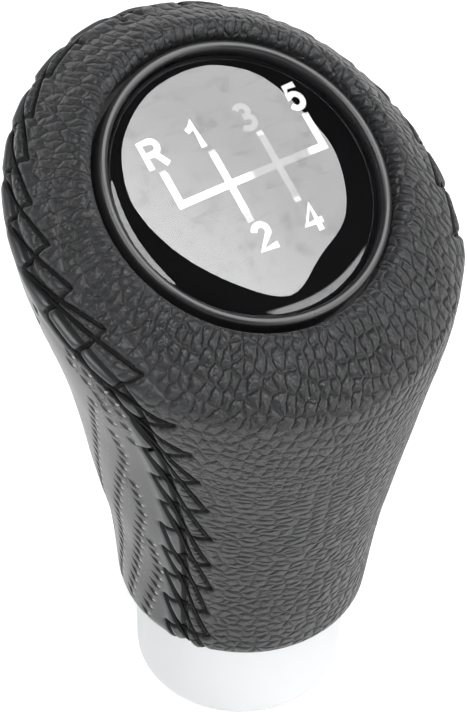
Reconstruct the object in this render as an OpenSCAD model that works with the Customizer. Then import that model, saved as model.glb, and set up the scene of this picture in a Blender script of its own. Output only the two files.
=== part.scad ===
// Gear shift knob: a leather-covered grip on a satin metal collar, with a domed shift-pattern cap.
// Origin: on the lever axis, in the plane of the collar's lower face. +Z points up the lever.
// +X is the driver's right and -Y faces the driver. The cap leans back towards the driver.

/* [Lever socket] */
// Diameter of the gear lever that the knob is pushed on to
lever_d = 12; // [10:0.5:14]
// Depth of the blind lever bore, from the collar's lower face
lever_depth = 50; // [44:1:52]
// Wall of the lever sleeve
sleeve_wall = 1.9; // [1.6:0.1:2.2]
// Thickness of the sleeve's closed upper end
sleeve_end = 4; // [3:0.5:5]

/* [Collar] */
// Outer diameter of the collar where it meets the leather
collar_d = 29; // [28:0.2:30]
// Height of the collar that shows below the leather
collar_h = 14.5; // [12:0.5:16]
// Length of collar hidden under the leather
collar_tuck = 4; // [3:0.5:5]
// Wall of the collar at its upper edge
collar_wall = 1.6; // [1.2:0.1:2]
// Thickness of the collar's inward lower lip
collar_lip = 1.2; // [0.8:0.1:1.6]

/* [Grip] */
// Gap between the collar and the leather's folded hem
hem_gap = 0.3; // [0.1:0.1:1]
// Greatest width of the head
head_w = 57.4; // [54:0.5:62]
// Height of the cap's centre above the collar's lower face
cap_z = 80.6; // [76:0.5:86]
// Offset of the cap's centre behind the lever axis
cap_y = 3; // [1:0.5:5]
// Lean of the cap towards the driver, in degrees
cap_tilt = 30.5; // [26:0.5:34]

/* [Covering] */
// Thickness of the leather
leather_t = 1.2; // [0.9:0.1:1.4]
// Extra thickness where the leather is folded at the hem
hem_fold = 0.5; // [0.2:0.1:0.6]
// Thickness of the foam under the leather
foam_t = 2.6; // [2:0.1:3.2]
// Gap between the front and rear covers along the seam
seam_gap = 0.3; // [0.2:0.1:0.6]
// Spacing of the lacing holes along the seam
stitch_pitch = 5.4; // [4.5:0.1:7]
// Distance of the lacing holes from the seam
stitch_reach_w = 3; // [2.4:0.1:3.4]
// Thickness of the lacing thread
thread_d = 0.6; // [0.5:0.1:0.8]

/* [Cap] */
// Outer diameter of the bezel ring
bezel_d = 38; // [36:0.5:40]
// Width of the bezel ring's upper edge
bezel_w = 1.25; // [1:0.05:1.6]
// Depth of the bezel ring
bezel_h = 4.4; // [4:0.1:5]
// Height of the resin dome at its centre
dome_h = 1.9; // [1.4:0.1:2.2]
// Thickness of the printed plate
plate_t = 0.5; // [0.4:0.1:0.8]
// Spacing of the shift pattern's columns
gate_pitch = 7.1; // [6:0.1:7.4]
// Width of the shift pattern's lines
gate_line = 0.95; // [0.6:0.05:1.1]

/* [Hidden] */
$fn = 96;

// Clearances and overruns
fit_gap = 0.05;
slip_gap = 0.15;
glue_gap = 0.2;
lever_gap = 0.1;
overrun = 1;

// Lever sleeve
bore_r = lever_d / 2 + lever_gap;
sleeve_r = bore_r + sleeve_wall;
sleeve_top = lever_depth + sleeve_end;
slot_w = 1.2;
slot_h = 12;
clip_z = 4;
clip_h = 1.8;
clip_bite = 0.7;
clip_stand = 0.9;
clip_mouth = 4;
relief_h = 10;
relief_r = sleeve_r + clip_stand + 2 * glue_gap;

// Screw and washer that hold the sleeve in the core
web_t = 4;
washer_r = 5.5;
washer_t = 1;
screw_r = 2;
screw_head_r = 4;
screw_head_h = 2.6;
spot_r = washer_r + 2 * glue_gap;
spot_z = sleeve_top + web_t;

// Collar
collar_r = collar_d / 2;
collar_taper = 0.5;
collar_foot_r = collar_r - collar_taper;
collar_bore_r = collar_r - collar_wall;
mouth_gap = 2.4;
collar_mouth_r = sleeve_r + mouth_gap;
collar_round = 1.5;
collar_top = collar_h + collar_tuck;
neck_r = collar_bore_r - slip_gap;
neck_z = collar_lip + glue_gap;
neck_top = collar_top + glue_gap;

// Leather form: front, back and width profiles that every section follows
hem_r = collar_r + hem_gap + leather_t + hem_fold;
head_r = head_w / 2;
hem_z = collar_h;
hem_round_h = 2.6;
hem_lip_r = collar_r + glue_gap;
roll_r = 1.6;
roll_gap = 0.65;
roll_rise_h = 0.3;
wall_r = bezel_d / 2 + roll_gap;
crest_r = wall_r + roll_r;
// Lower stations: front out, front up, back out, back up, half width
low_shares = [
  [0.122, 0.199, 0.157, 0.187, 0.104],
  [0.228, 0.339, 0.363, 0.352, 0.290],
  [0.387, 0.506, 0.726, 0.645, 0.566]
];
// Upper stations, in the cap's frame: front along, front deep, back along, back deep, half width
high_shares = [
  [-1.140, -0.150, 0.845, -0.547, 0.999],
  [-1.084, -0.028, 1.002, -0.331, 0.953]
];
// How fast the surface still runs inwards where it meets the rolled edge
crest_pull_w = 6;

// Parameters up the surface: whole numbers are stations, then the roll and the tucked wall
crest_share = 6;
tuck_share = 8;

// Seam: a straight run up each side, a round corner, and an arch over the back of the head
seam_foot_angle = 26;
seam_knee_angle = 31;
seam_bend_share = 2.2;
seam_corner_share = 3.75;
seam_side_angle = 2;
seam_side_share = 4.72;
seam_back_share = 5.2;
seam_back_power = 1.8;
front_cols = 16;
corner_cols = 6;
side_cols = 11;
rear_cols = 2 * (corner_cols + side_cols);
ring_cols = front_cols + rear_cols;
// Rows of the fold at the hem, and of the head between the seam and the crest
hem_row_shares = [0, 0.08, 0.28, 0.58];
ring_row_shares = [0, 0.16, 0.32, 0.47, 0.61, 0.74, 0.86, 0.94, 1];
roll_row_shares = [6.34, 6.67, 7, 8];
front_rows = 12;
rear_rows = 17;

// Core and foam
foam_depth = leather_t + 1.5 * glue_gap;
core_depth = foam_depth + foam_t + glue_gap;
core_cols = 36;
core_rows = 13;
rim_t_share = 0.04;

// Cap, measured from the plane of the bezel's upper edge
bezel_r = bezel_d / 2;
bezel_in_r = bezel_r - bezel_w;
bezel_edge = 0.35;
seat_z = -bezel_h - 2 * fit_gap;
flange_t = 1;
flange_w = 3;
flange_in_r = bezel_r - flange_w;
dome_drop = 1.7;
dome_r = bezel_in_r - 2 * fit_gap;
dome_edge_w = 1.4;
dome_edge_share = 0.4;
print_t = 0.1;
adhesive_t = 0.4;
adhesive_inset = 0.3;
base_top = -dome_drop - plate_t - adhesive_t;
base_t = bezel_h - flange_t + base_top - fit_gap;
leg_r = flange_in_r - slip_gap;
leg_t = 1.3;
leg_w = 7;
leg_h = 4.8;
hook_h = 3.2;
leg_z = -bezel_h - leg_h;
hook_z = -bezel_h - hook_h;
hook_out = 0.7;
pocket_r = flange_in_r + slip_gap;
catch_z = hook_z + slip_gap;
catch_r = leg_r + hook_out + slip_gap;
catch_h = 2.4;
leg_room = 2.3;
pocket_z = leg_z - leg_room;

// Shift pattern
gate_x = 1.5;
gate_y = 0.5;
gate_up_h = 4.35;
gate_down_h = 4.8;

function mix(a, b, k) = a + (b - a) * k;
function unit(v) = v / norm(v);
function clip01(k) = min(1, max(0, k));
function ease(k) = let (c = clip01(k)) c * c * (3 - 2 * c);

// A point given along and out of the cap's plane, as [y, z]
function on_plane(along, out) = [
  cap_y + along * cos(cap_tilt) - out * sin(cap_tilt),
  cap_z + along * sin(cap_tilt) + out * cos(cap_tilt)
];

function low_station(s) = [
  -mix(hem_r, head_r, s[0]), mix(hem_z, cap_z, s[1]),
  mix(hem_r, head_r, s[2]), mix(hem_z, cap_z, s[3]),
  mix(hem_r, head_r, s[4])
];
function high_station(s) = concat(
  on_plane(s[0] * head_r, s[1] * head_r),
  on_plane(s[2] * head_r, s[3] * head_r),
  [s[4] * head_r]
);
stations = concat(
  [[-hem_r, hem_z, hem_r, hem_z, hem_r]],
  [for (s = low_shares) low_station(s)],
  [for (s = high_shares) high_station(s)],
  [concat(on_plane(-crest_r, roll_rise_h), on_plane(crest_r, roll_rise_h), [crest_r])]
);
// Beyond each end, a station that sets the direction in which the surface leaves it
pull = on_plane(crest_pull_w, 0) - on_plane(0, 0);
before = 2 * stations[0] - stations[1];
after = stations[crest_share - 1] + [pull[0], pull[1], -pull[0], -pull[1], -crest_pull_w];

function station(i) = i < 0 ? before : i > crest_share ? after : stations[i];
function spline(t) = let (
  i = min(crest_share - 1, max(0, floor(t))),
  u = t - i,
  a = station(i - 1), b = station(i), c = station(i + 1), d = station(i + 2)
) 0.5 * (2 * b + (c - a) * u + (2 * a - 5 * b + 4 * c - d) * u * u + (3 * b - a - 3 * c + d) * u * u * u);

// One point of an elliptical section whose front and back ends the spline gives
function on_section(s, inset, ang) = let (
  front = [0, s[0], s[1]],
  back = [0, s[2], s[3]],
  half = norm(back - front) / 2,
  along = unit(back - front)
) (front + back) / 2 + (s[4] - inset) * cos(ang) * [1, 0, 0] + (half - inset) * sin(ang) * along;

// The leather rolled over the edge of the cap's recess and down its wall
function on_roll(t, ang) = let (
  turn = 90 * clip01(t - crest_share),
  r = wall_r + roll_r * (1 - sin(turn)),
  sunk = t > crest_share + 1 ? (t - crest_share - 1) * (roll_rise_h - roll_r - seat_z - fit_gap) : 0,
  out = roll_rise_h - roll_r * (1 - cos(turn)) - sunk,
  p = on_plane(r * sin(ang), out)
) [r * cos(ang), p[0], p[1]];

hem_t = hem_round_h / ((stations[1][1] + stations[1][3]) / 2 - hem_z);
function hem_inset(t) = let (k = 1 - clip01(t / hem_t)) (hem_r - hem_lip_r) * (1 - sqrt(1 - k * k));
function flank(t, ang) = t <= crest_share ? on_section(spline(t), 0, ang) : on_roll(t, ang);
function skin(t, ang) = t < hem_t ? on_section(spline(t), hem_inset(t), ang) : flank(t, ang);

// Outward normal of the surface, by small steps each way
step_share = 0.01;
step_angle = 0.5;
function slope_up(t, ang) = flank(min(tuck_share, t + step_share), ang) - flank(max(0, t - step_share), ang);
function slope_round(t, ang) = flank(t, ang + step_angle) - flank(t, ang - step_angle);
function normal(t, ang) = unit(cross(slope_round(t, ang), slope_up(t, ang)));
function deep(t, ang, depth) = flank(t, ang) - depth * normal(t, ang);

// The inner side of the leather, which starts a little above the folded lower edge
lip_share = 0.45;
function inner_t(t) = t < hem_t ? mix(lip_share * hem_t, hem_t, t / hem_t) : t;
function leather_at(t) = leather_t + hem_fold * (1 - ease(t / (2 * hem_t)));
function lining(t, ang) = deep(inner_t(t), ang, leather_at(t));

// Seam angle in front of the knob's side, at height t up to the corner
function knee_k(t) = ease((t - seam_bend_share) / (seam_corner_share - seam_bend_share));
function seam_edge(t) = mix(seam_foot_angle, seam_knee_angle, knee_k(t));
function arch_k(phi) = pow(clip01((seam_side_angle - phi) / (seam_side_angle + 90)), seam_back_power);
function arch_t(phi) = mix(seam_side_share, seam_back_share, arch_k(phi));
// Seam column k, from the corner round to the middle of the back, as [angle, height]
function seam_col(k) = k <= corner_cols
  ? let (q = 90 * k / corner_cols)
    [mix(seam_side_angle, seam_knee_angle, cos(q)), mix(seam_corner_share, seam_side_share, sin(q))]
  : let (phi = mix(seam_side_angle, -90, (k - corner_cols) / side_cols)) [phi, arch_t(phi)];
half_cols = corner_cols + side_cols;
// Rear columns run from the right seam round the back to the left seam
function rear_col(j) = j <= half_cols
  ? let (c = seam_col(j)) [-c[0], c[1], c[0]]
  : let (c = seam_col(rear_cols - j)) [180 + c[0], c[1], c[0]];

// Closed solid between two grids of points that share their rows and columns
function flat_list(rows) = [for (r = rows) each r];
function quad(a, b, c, d) = [[a, b, c], [a, c, d]];
function grid_faces(m, n, row) = [
  for (i = [0:m - 1]) for (j = [0:n - 1])
    each quad(i * row + j, (i + 1) * row + j, (i + 1) * row + (j + 1) % row, i * row + (j + 1) % row)
];
function turned(faces, shift) = [for (f = faces) [f[0] + shift, f[2] + shift, f[1] + shift]];
function rim_faces(loop, shift) = [
  for (k = [0:len(loop) - 1])
    let (a = loop[k], b = loop[(k + 1) % len(loop)])
      each quad(a, b, b + shift, a + shift)
];

// A ring of rows around the whole knob, open at both ends
module ring_shell(outer, inner) {
  n = len(outer[0]);
  m = len(outer) - 1;
  size = n * (m + 1);
  faces = grid_faces(m, n, n);
  foot = [for (j = [0:n - 1]) j];
  top = [for (j = [0:n - 1]) m * n + n - 1 - j];
  polyhedron(
    points = concat(flat_list(outer), flat_list(inner)),
    faces = concat(faces, turned(faces, size), rim_faces(foot, size), rim_faces(top, size)),
    convexity = 8
  );
}

// A four-sided sheet with an edge all round
module sheet_shell(outer, inner) {
  n = len(outer[0]) - 1;
  m = len(outer) - 1;
  row = n + 1;
  size = row * (m + 1);
  faces = grid_faces(m, n, row);
  loop = concat(
    [for (j = [0:n]) j],
    [for (i = [1:m]) i * row + n],
    [for (j = [1:n]) m * row + n - j],
    [for (i = [1:m - 1]) (m - i) * row]
  );
  polyhedron(
    points = concat(flat_list(outer), flat_list(inner)),
    faces = concat(faces, turned(faces, size), rim_faces(loop, size)),
    convexity = 8
  );
}

module on_cap(z = 0) {
  translate([0, cap_y, cap_z])
    rotate([cap_tilt, 0, 0])
      translate([0, 0, z])
        children();
}

// Satin metal collar: rounded foot, inward lip and a slight taper
module collar() {
  color("silver")
    rotate_extrude()
      difference() {
        union() {
          polygon([
            [0, 0],
            [collar_foot_r - collar_round, 0],
            [collar_foot_r - collar_round, collar_round],
            [collar_foot_r, collar_round],
            [collar_r, collar_h],
            [collar_r, collar_top],
            [0, collar_top]
          ]);
          intersection() {
            translate([collar_foot_r - collar_round, collar_round])
              circle(r = collar_round);
            square([collar_r, collar_top]);
          }
        }
        translate([-overrun, -overrun])
          square([collar_mouth_r + overrun, collar_top + 2 * overrun]);
        translate([0, collar_lip])
          square([collar_bore_r, collar_top]);
      }
}

// Blind socket for the lever, slit at its mouth so that the clip can close it
module lever_sleeve() {
  color("dimgray")
    difference() {
      cylinder(r = sleeve_r, h = sleeve_top);
      translate([0, 0, -overrun])
        cylinder(r = bore_r, h = lever_depth + overrun);
      cylinder(r = screw_r + fit_gap, h = sleeve_top + overrun);
      translate([-slot_w / 2, -sleeve_r - overrun, -overrun])
        cube([slot_w, 2 * (sleeve_r + overrun), slot_h + overrun]);
      translate([0, 0, clip_z])
        difference() {
          cylinder(r = sleeve_r + overrun, h = clip_h + 2 * fit_gap);
          translate([0, 0, -overrun])
            cylinder(r = sleeve_r - clip_bite, h = clip_h + 2 * overrun);
        }
    }
}

// Open spring ring in the sleeve's groove
module spring_clip() {
  color("lightsteelblue")
    translate([0, 0, clip_z + fit_gap])
      difference() {
        cylinder(r = sleeve_r + clip_stand, h = clip_h);
        translate([0, 0, -overrun])
          cylinder(r = sleeve_r - clip_bite + fit_gap, h = clip_h + 2 * overrun);
        translate([0, -clip_mouth / 2, -overrun])
          cube([sleeve_r + clip_stand + overrun, clip_mouth, clip_h + 2 * overrun]);
      }
}

module sleeve_washer() {
  color("silver")
    translate([0, 0, spot_z + fit_gap])
      difference() {
        cylinder(r = washer_r, h = washer_t);
        translate([0, 0, -overrun])
          cylinder(r = screw_r + slip_gap, h = washer_t + 2 * overrun);
      }
}

module sleeve_screw() {
  head_z = spot_z + 2 * fit_gap + washer_t;
  color("slategray")
    difference() {
      union() {
        translate([0, 0, lever_depth + fit_gap])
          cylinder(r = screw_r, h = head_z - lever_depth);
        translate([0, 0, head_z])
          cylinder(r = screw_head_r, h = screw_head_h);
      }
      translate([0, 0, head_z + screw_head_h / 2])
        cylinder(r = screw_r, h = screw_head_h, $fn = 6);
    }
}

// Point rows of the form at a depth under the leather's outer side
function core_row(t, depth) = [for (j = [0:core_cols - 1]) deep(t, 360 * j / core_cols, depth)];
function t_at(z) = (z - hem_z) / (hem_round_h / hem_t);

// Moulded core: neck for the collar, socket for the sleeve, seat and snap pocket for the cap
module grip_core() {
  foot_t = t_at(neck_top - overrun);
  head_t = crest_share - rim_t_share;
  rows = [for (i = [0:core_rows]) core_row(mix(foot_t, head_t, i / core_rows), core_depth)];
  size = core_cols * (core_rows + 1);
  top_row = [for (j = [0:core_cols - 1]) core_rows * core_cols + j];
  color("darkslategray")
    difference() {
      union() {
        polyhedron(
          points = flat_list(rows),
          faces = concat(
            grid_faces(core_rows, core_cols, core_cols),
            [[for (j = [0:core_cols - 1]) j]],
            [[for (j = [0:core_cols - 1]) core_rows * core_cols + core_cols - 1 - j]]
          ),
          convexity = 4
        );
        translate([0, 0, neck_z])
          cylinder(r = neck_r, h = neck_top - neck_z);
      }
      difference() {
        cylinder(r = head_r, h = neck_top);
        translate([0, 0, -overrun])
          cylinder(r = neck_r, h = neck_top + 2 * overrun);
      }
      cylinder(r = sleeve_r + fit_gap, h = sleeve_top + fit_gap);
      cylinder(r = relief_r, h = relief_h);
      cylinder(r = screw_r + slip_gap, h = cap_z);
      translate([0, 0, spot_z])
        cylinder(r = spot_r, h = cap_z - spot_z);
      on_cap(seat_z)
        cylinder(r = 2 * head_r, h = head_r);
      on_cap(pocket_z)
        cylinder(r = pocket_r, h = -pocket_z);
      on_cap(catch_z - catch_h)
        cylinder(r = catch_r, h = catch_h);
    }
}

// Soft foam jacket between the core and the leather
module foam_padding() {
  foot_t = t_at(neck_top + 2 * glue_gap);
  top_t = crest_share - rim_t_share;
  ts = [for (i = [0:core_rows + 2]) mix(foot_t, top_t, i / (core_rows + 2))];
  color("khaki")
    difference() {
      ring_shell(
        [for (t = ts) core_row(t, foam_depth)],
        [for (t = ts) core_row(t, foam_depth + foam_t)]
      );
      on_cap(seat_z - overrun)
        cylinder(r = wall_r + leather_t + glue_gap, h = bezel_h + 2 * overrun);
    }
}

// Smooth leather over the front and right round the cap, rolled into the cap's recess
module front_cover() {
  front_ts = concat(
    [for (s = hem_row_shares) s * hem_t],
    [for (i = [0:front_rows - 1]) mix(hem_t, seam_corner_share, i / front_rows)]
  );
  m = len(front_ts);
  row = front_cols + 1;
  // Angle of front column j, from the left seam past the front to the right seam
  low = [for (t = front_ts) [for (j = [0:front_cols])
    [t, 180 + seam_edge(t) + (180 - 2 * seam_edge(t)) * j / front_cols]]];
  front_turn = 180 - 2 * seam_knee_angle;
  starts = concat(
    [for (j = [0:front_cols])
      [seam_corner_share, 180 + seam_knee_angle + front_turn * j / front_cols]],
    [for (j = [1:rear_cols - 1]) let (c = rear_col(j)) [c[1], 360 + c[0]]]
  );
  high = concat(
    [for (k = ring_row_shares) [for (s = starts) [mix(s[0], crest_share, k), s[1]]]],
    [for (t = roll_row_shares) [for (s = starts) [t, s[1]]]]
  );
  cells = concat(flat_list(low), flat_list(high));
  size = len(cells);
  base = m * row;
  high_faces = [for (f = grid_faces(len(high) - 1, ring_cols, ring_cols)) f + [base, base, base]];
  low_faces = [
    for (i = [0:m - 1]) for (j = [0:front_cols - 1])
      let (up = i == m - 1 ? base : (i + 1) * row)
        each quad(i * row + j, up + j, up + j + 1, i * row + j + 1)
  ];
  loop = concat(
    [for (j = [0:front_cols]) j],
    [for (i = [1:m - 1]) i * row + front_cols],
    [for (j = [0:rear_cols]) base + (front_cols + j) % ring_cols],
    [for (i = [1:m - 1]) (m - i) * row]
  );
  top_base = base + (len(high) - 1) * ring_cols;
  top = [for (j = [0:ring_cols - 1]) top_base + ring_cols - 1 - j];
  faces = concat(low_faces, high_faces);
  color("#26272a")
    polyhedron(
      points = concat([for (c = cells) skin(c[0], c[1])], [for (c = cells) lining(c[0], c[1])]),
      faces = concat(faces, turned(faces, size), rim_faces(loop, size), rim_faces(top, size)),
      convexity = 8
    );
}

// Perforated leather round the sides and back, under the seam's arch
module rear_cover() {
  seam_ang = seam_gap / hem_r * 180 / PI;
  seam_up = seam_gap * hem_t / hem_round_h;
  shares = [for (i = [0:rear_rows]) i / rear_rows];
  function corner_k(phi) = clip01((phi - seam_side_angle) / (seam_knee_angle - seam_side_angle));
  function lean(phi, t) = (seam_knee_angle - seam_edge(t)) * corner_k(phi);
  function trim(phi) = seam_ang * corner_k(phi);
  function cell(j, t) = let (
    c = rear_col(j),
    less = lean(c[2], t) + trim(c[2])
  ) [t, c[0] + (j <= half_cols ? less : -less)];
  rows = concat(
    [for (s = hem_row_shares) [for (j = [0:rear_cols]) cell(j, s * hem_t)]],
    [for (s = shares) [for (j = [0:rear_cols]) cell(j, mix(hem_t, rear_col(j)[1] - seam_up, s))]]
  );
  color("#303134")
    sheet_shell(
      [for (r = rows) [for (c = r) skin(c[0], c[1])]],
      [for (r = rows) [for (c = r) lining(c[0], c[1])]]
    );
}

// The seam as fine steps of [height, angle in front of the side], from the hem to the middle of the back
seam_steps = 90;
low_steps = 50;
seam_line = concat(
  [for (i = [0:low_steps]) let (t = mix(1.4 * hem_t, seam_corner_share, i / low_steps)) [t, seam_edge(t)]],
  [for (i = [1:seam_steps]) let (c = seam_col(half_cols * i / seam_steps)) [c[1], c[0]]]
);
seam_points = [for (s = seam_line) skin(s[0], 180 + s[1])];
seam_run = [
  for (i = 0, far = 0; i < len(seam_points);
    far = far + (i + 1 < len(seam_points) ? norm(seam_points[i + 1] - seam_points[i]) : 0), i = i + 1)
    far
];
stitches = floor(seam_run[len(seam_run) - 1] / stitch_pitch);
function seam_at(far) = lookup_pair(far, len([for (r = seam_run) if (r <= far) r]) - 1);
function lookup_pair(far, i) = i >= len(seam_run) - 1
  ? seam_line[len(seam_line) - 1]
  : seam_line[i] + (seam_line[i + 1] - seam_line[i]) * (far - seam_run[i]) / (seam_run[i + 1] - seam_run[i]);

// Place on the leather, as [height, angle], that lies nearest under a target point
settle_steps = 5;
function settle(t, ang, target, steps) = steps == 0 ? [t, ang] : let (
  away = target - skin(t, ang),
  up = slope_up(t, ang),
  round = slope_round(t, ang),
  slant = up * round,
  spread = (up * up) * (round * round) - slant * slant,
  up_k = ((away * up) * (round * round) - (away * round) * slant) / spread,
  round_k = ((away * round) * (up * up) - (away * up) * slant) / spread
) settle(t + up_k * 2 * step_share, ang + round_k * 2 * step_angle, target, steps - 1);
// Stitch hole i at a height over the leather, with side 1 on the smooth and -1 on the perforated side
function lace_hole(i, side, lift) = let (
  far = i * stitch_pitch,
  s = seam_at(far),
  t = s[0],
  ang = 180 + s[1],
  near_a = seam_at(max(0, far - stitch_pitch / 4)),
  near_b = seam_at(min(seam_run[len(seam_run) - 1], far + stitch_pitch / 4)),
  along = unit(skin(near_b[0], 180 + near_b[1]) - skin(near_a[0], 180 + near_a[1])),
  across = side * cross(along, normal(t, ang)),
  at = settle(t, ang, skin(t, ang) + stitch_reach_w * across, settle_steps)
) skin(at[0], at[1]) + lift * normal(at[0], at[1]);

module toward(dir) {
  rotate([0, acos(dir[2]), atan2(dir[1], dir[0])])
    children();
}

module thread(a, b, trim_a, trim_b) {
  run = b - a;
  translate(a + trim_a * unit(run))
    toward(unit(run))
      cylinder(d = thread_d, h = norm(run) - trim_a - trim_b, $fn = 24);
}

// Half of a bent thread, from its hole to the mitre at the bend
module half_thread(hole, bend, mitre, trim) {
  difference() {
    thread(hole, bend, trim, -thread_d);
    translate(bend - fit_gap / 2 * mitre)
      toward(mitre)
        translate([-thread_d, -thread_d, 0])
          cube(2 * thread_d);
  }
}

// Bars straight across the seam, and long diagonals that cross over their middles
module lacing() {
  function sag(i) = let (s = seam_at(i * stitch_pitch))
    norm(skin(s[0], 180 + s[1]) - (lace_hole(i, 1, 0) + lace_hole(i, -1, 0)) / 2);
  function bar_end(i, side) = lace_hole(i, side, thread_d / 2 + 1.25 * sag(i) + fit_gap);
  function over_bar(i) = let (s = seam_at(i * stitch_pitch))
    (bar_end(i, 1) + bar_end(i, -1)) / 2 + (thread_d + 2 * fit_gap) * normal(s[0], 180 + s[1]);
  // How far the leather bulges out of the straight line from stitch i to the next
  function bulge(i) = let (
    ends = [for (k = [i, i + 0.5, i + 1]) seam_at(k * stitch_pitch)],
    at = [for (s = ends) skin(s[0], 180 + s[1])]
  ) max(0, (at[1] - (at[0] + at[2]) / 2) * normal(ends[1][0], 180 + ends[1][1]));
  hole_trim = 1.3 * thread_d;
  color("black") {
    for (i = [0:stitches])
      thread(bar_end(i, 1), bar_end(i, -1), hole_trim, hole_trim);
    for (i = [0:stitches - 2]) {
      low = thread_d / 2 + 2 * fit_gap;
      start = lace_hole(i, 1, low + max(sag(i), sag(i + 1)) / 2 + 2 * bulge(i));
      bend = over_bar(i + 1);
      end = lace_hole(i + 2, -1, low + max(sag(i + 1), sag(i + 2)) / 2 + 2 * bulge(i + 1));
      mitre = unit(unit(bend - start) + unit(end - bend));
      half_thread(start, bend, mitre, hole_trim);
      half_thread(end, bend, -mitre, hole_trim);
    }
  }
}

module left_lacing() {
  lacing();
}

module right_lacing() {
  mirror([1, 0, 0])
    lacing();
}

// Ring that frames the cap and closes on the tucked edge of the leather
module bezel_ring() {
  color("#1c1c1e")
    on_cap()
      rotate_extrude()
        polygon([
          [flange_in_r, -bezel_h],
          [bezel_r, -bezel_h],
          [bezel_r, -bezel_edge],
          [bezel_r - bezel_edge, 0],
          [bezel_in_r + bezel_edge, 0],
          [bezel_in_r, -bezel_edge],
          [bezel_in_r, -bezel_h + flange_t],
          [flange_in_r, -bezel_h + flange_t]
        ]);
}

// Carrier disc with four snap legs
module cap_base() {
  color("#2a2a2c")
    on_cap()
      union() {
        translate([0, 0, base_top - base_t])
          cylinder(r = dome_r, h = base_t);
        intersection() {
          rotate_extrude()
            polygon([
              [leg_r - leg_t, leg_z],
              [leg_r, leg_z],
              [leg_r + hook_out, hook_z - slip_gap],
              [leg_r + hook_out, hook_z],
              [leg_r, hook_z],
              [leg_r, base_top - base_t / 2],
              [leg_r - leg_t, base_top - base_t / 2]
            ]);
          for (turn = [0, 90])
            rotate([0, 0, turn])
              translate([-bezel_r, -leg_w / 2, leg_z])
                cube([bezel_d, leg_w, -leg_z]);
        }
      }
}

module cap_adhesive() {
  color("gainsboro")
    on_cap(base_top)
      cylinder(r = dome_r - adhesive_inset, h = adhesive_t);
}

module gate_bar(from, to) {
  run = to - from;
  translate(from)
    rotate(atan2(run[1], run[0]))
      translate([-gate_line / 2, -gate_line / 2])
        square([norm(run) + gate_line, gate_line]);
}

module gate_outline() {
  function column(i) = gate_x + (i - 1.5) * gate_pitch;
  gate_bar([column(0), gate_y], [column(3), gate_y]);
  for (i = [0:3])
    gate_bar([column(i), gate_y], [column(i), gate_y + gate_up_h]);
  for (i = [1:2])
    gate_bar([column(i), gate_y - gate_down_h], [column(i), gate_y]);
}

module emblem_plate() {
  color("#0c0c0d")
    on_cap(base_top + adhesive_t)
      difference() {
        cylinder(r = dome_r, h = plate_t);
        translate([0, 0, plate_t - print_t])
          linear_extrude(print_t + overrun)
            gate_outline();
      }
}

// Printed shift gate, flush with the plate
module shift_pattern() {
  color("white")
    on_cap(-dome_drop - print_t)
      linear_extrude(print_t)
        gate_outline();
}

// Clear resin dome with a rounded shoulder
module dome_lens() {
  shoulder_h = dome_h * dome_edge_share;
  shoulder_r = dome_r - dome_edge_w;
  edge = [for (q = [0:15:90]) [shoulder_r + dome_edge_w * cos(q), shoulder_h * sin(q)]];
  crown = [for (k = [0.75, 0.5, 0.25, 0])
    [shoulder_r * k, mix(dome_h, shoulder_h, k * k)]];
  color("lightgray", 0.4)
    on_cap(-dome_drop)
      rotate_extrude()
        polygon(concat([[0, 0]], edge, crown));
}

collar();
lever_sleeve();
spring_clip();
sleeve_washer();
sleeve_screw();
grip_core();
foam_padding();
front_cover();
rear_cover();
left_lacing();
right_lacing();
bezel_ring();
cap_base();
cap_adhesive();
emblem_plate();
shift_pattern();
dome_lens();
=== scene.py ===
import math

import bpy
import bmesh
import numpy as np
from mathutils import Matrix, Vector, kdtree


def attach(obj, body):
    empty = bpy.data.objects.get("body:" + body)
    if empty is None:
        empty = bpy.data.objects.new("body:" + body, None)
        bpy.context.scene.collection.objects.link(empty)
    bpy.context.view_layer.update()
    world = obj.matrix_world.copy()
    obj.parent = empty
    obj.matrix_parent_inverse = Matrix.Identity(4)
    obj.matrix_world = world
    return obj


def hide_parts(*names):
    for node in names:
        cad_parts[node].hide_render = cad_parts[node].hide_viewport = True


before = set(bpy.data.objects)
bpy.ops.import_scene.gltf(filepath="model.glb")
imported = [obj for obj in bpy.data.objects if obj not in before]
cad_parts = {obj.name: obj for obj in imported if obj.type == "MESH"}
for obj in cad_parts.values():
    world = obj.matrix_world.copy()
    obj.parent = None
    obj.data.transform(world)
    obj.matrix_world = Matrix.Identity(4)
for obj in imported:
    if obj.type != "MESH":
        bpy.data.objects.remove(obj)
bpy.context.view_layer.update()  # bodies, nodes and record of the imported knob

mm = 0.001
scene = bpy.context.scene
print("stage: frame loaded,", len(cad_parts), "nodes")


# modelling helpers

def clearSelection():
    if bpy.context.object and bpy.context.object.mode != "OBJECT":
        bpy.ops.object.mode_set(mode="OBJECT")
    bpy.ops.object.select_all(action="DESELECT")


def makeActive(piece):
    clearSelection()
    piece.select_set(True)
    bpy.context.view_layer.objects.active = piece


def joinPieces(pieces, name):
    makeActive(pieces[0])
    for piece in pieces:
        piece.select_set(True)
    bpy.ops.object.join()
    whole = bpy.context.view_layer.objects.active
    whole.name = name
    whole.data.name = name
    return whole


def placeInMesh(piece):
    makeActive(piece)
    bpy.ops.object.transform_apply(location=True, rotation=True, scale=True)


def smoothPiece(piece, degrees):
    makeActive(piece)
    bpy.ops.object.shade_smooth_by_angle(angle=math.radians(degrees))


def editAll(*steps):  # mesh operators, each on the whole active piece
    bpy.ops.object.mode_set(mode="EDIT")
    for step in steps:
        bpy.ops.mesh.select_all(action="SELECT")
        step()
    bpy.ops.object.mode_set(mode="OBJECT")


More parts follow.
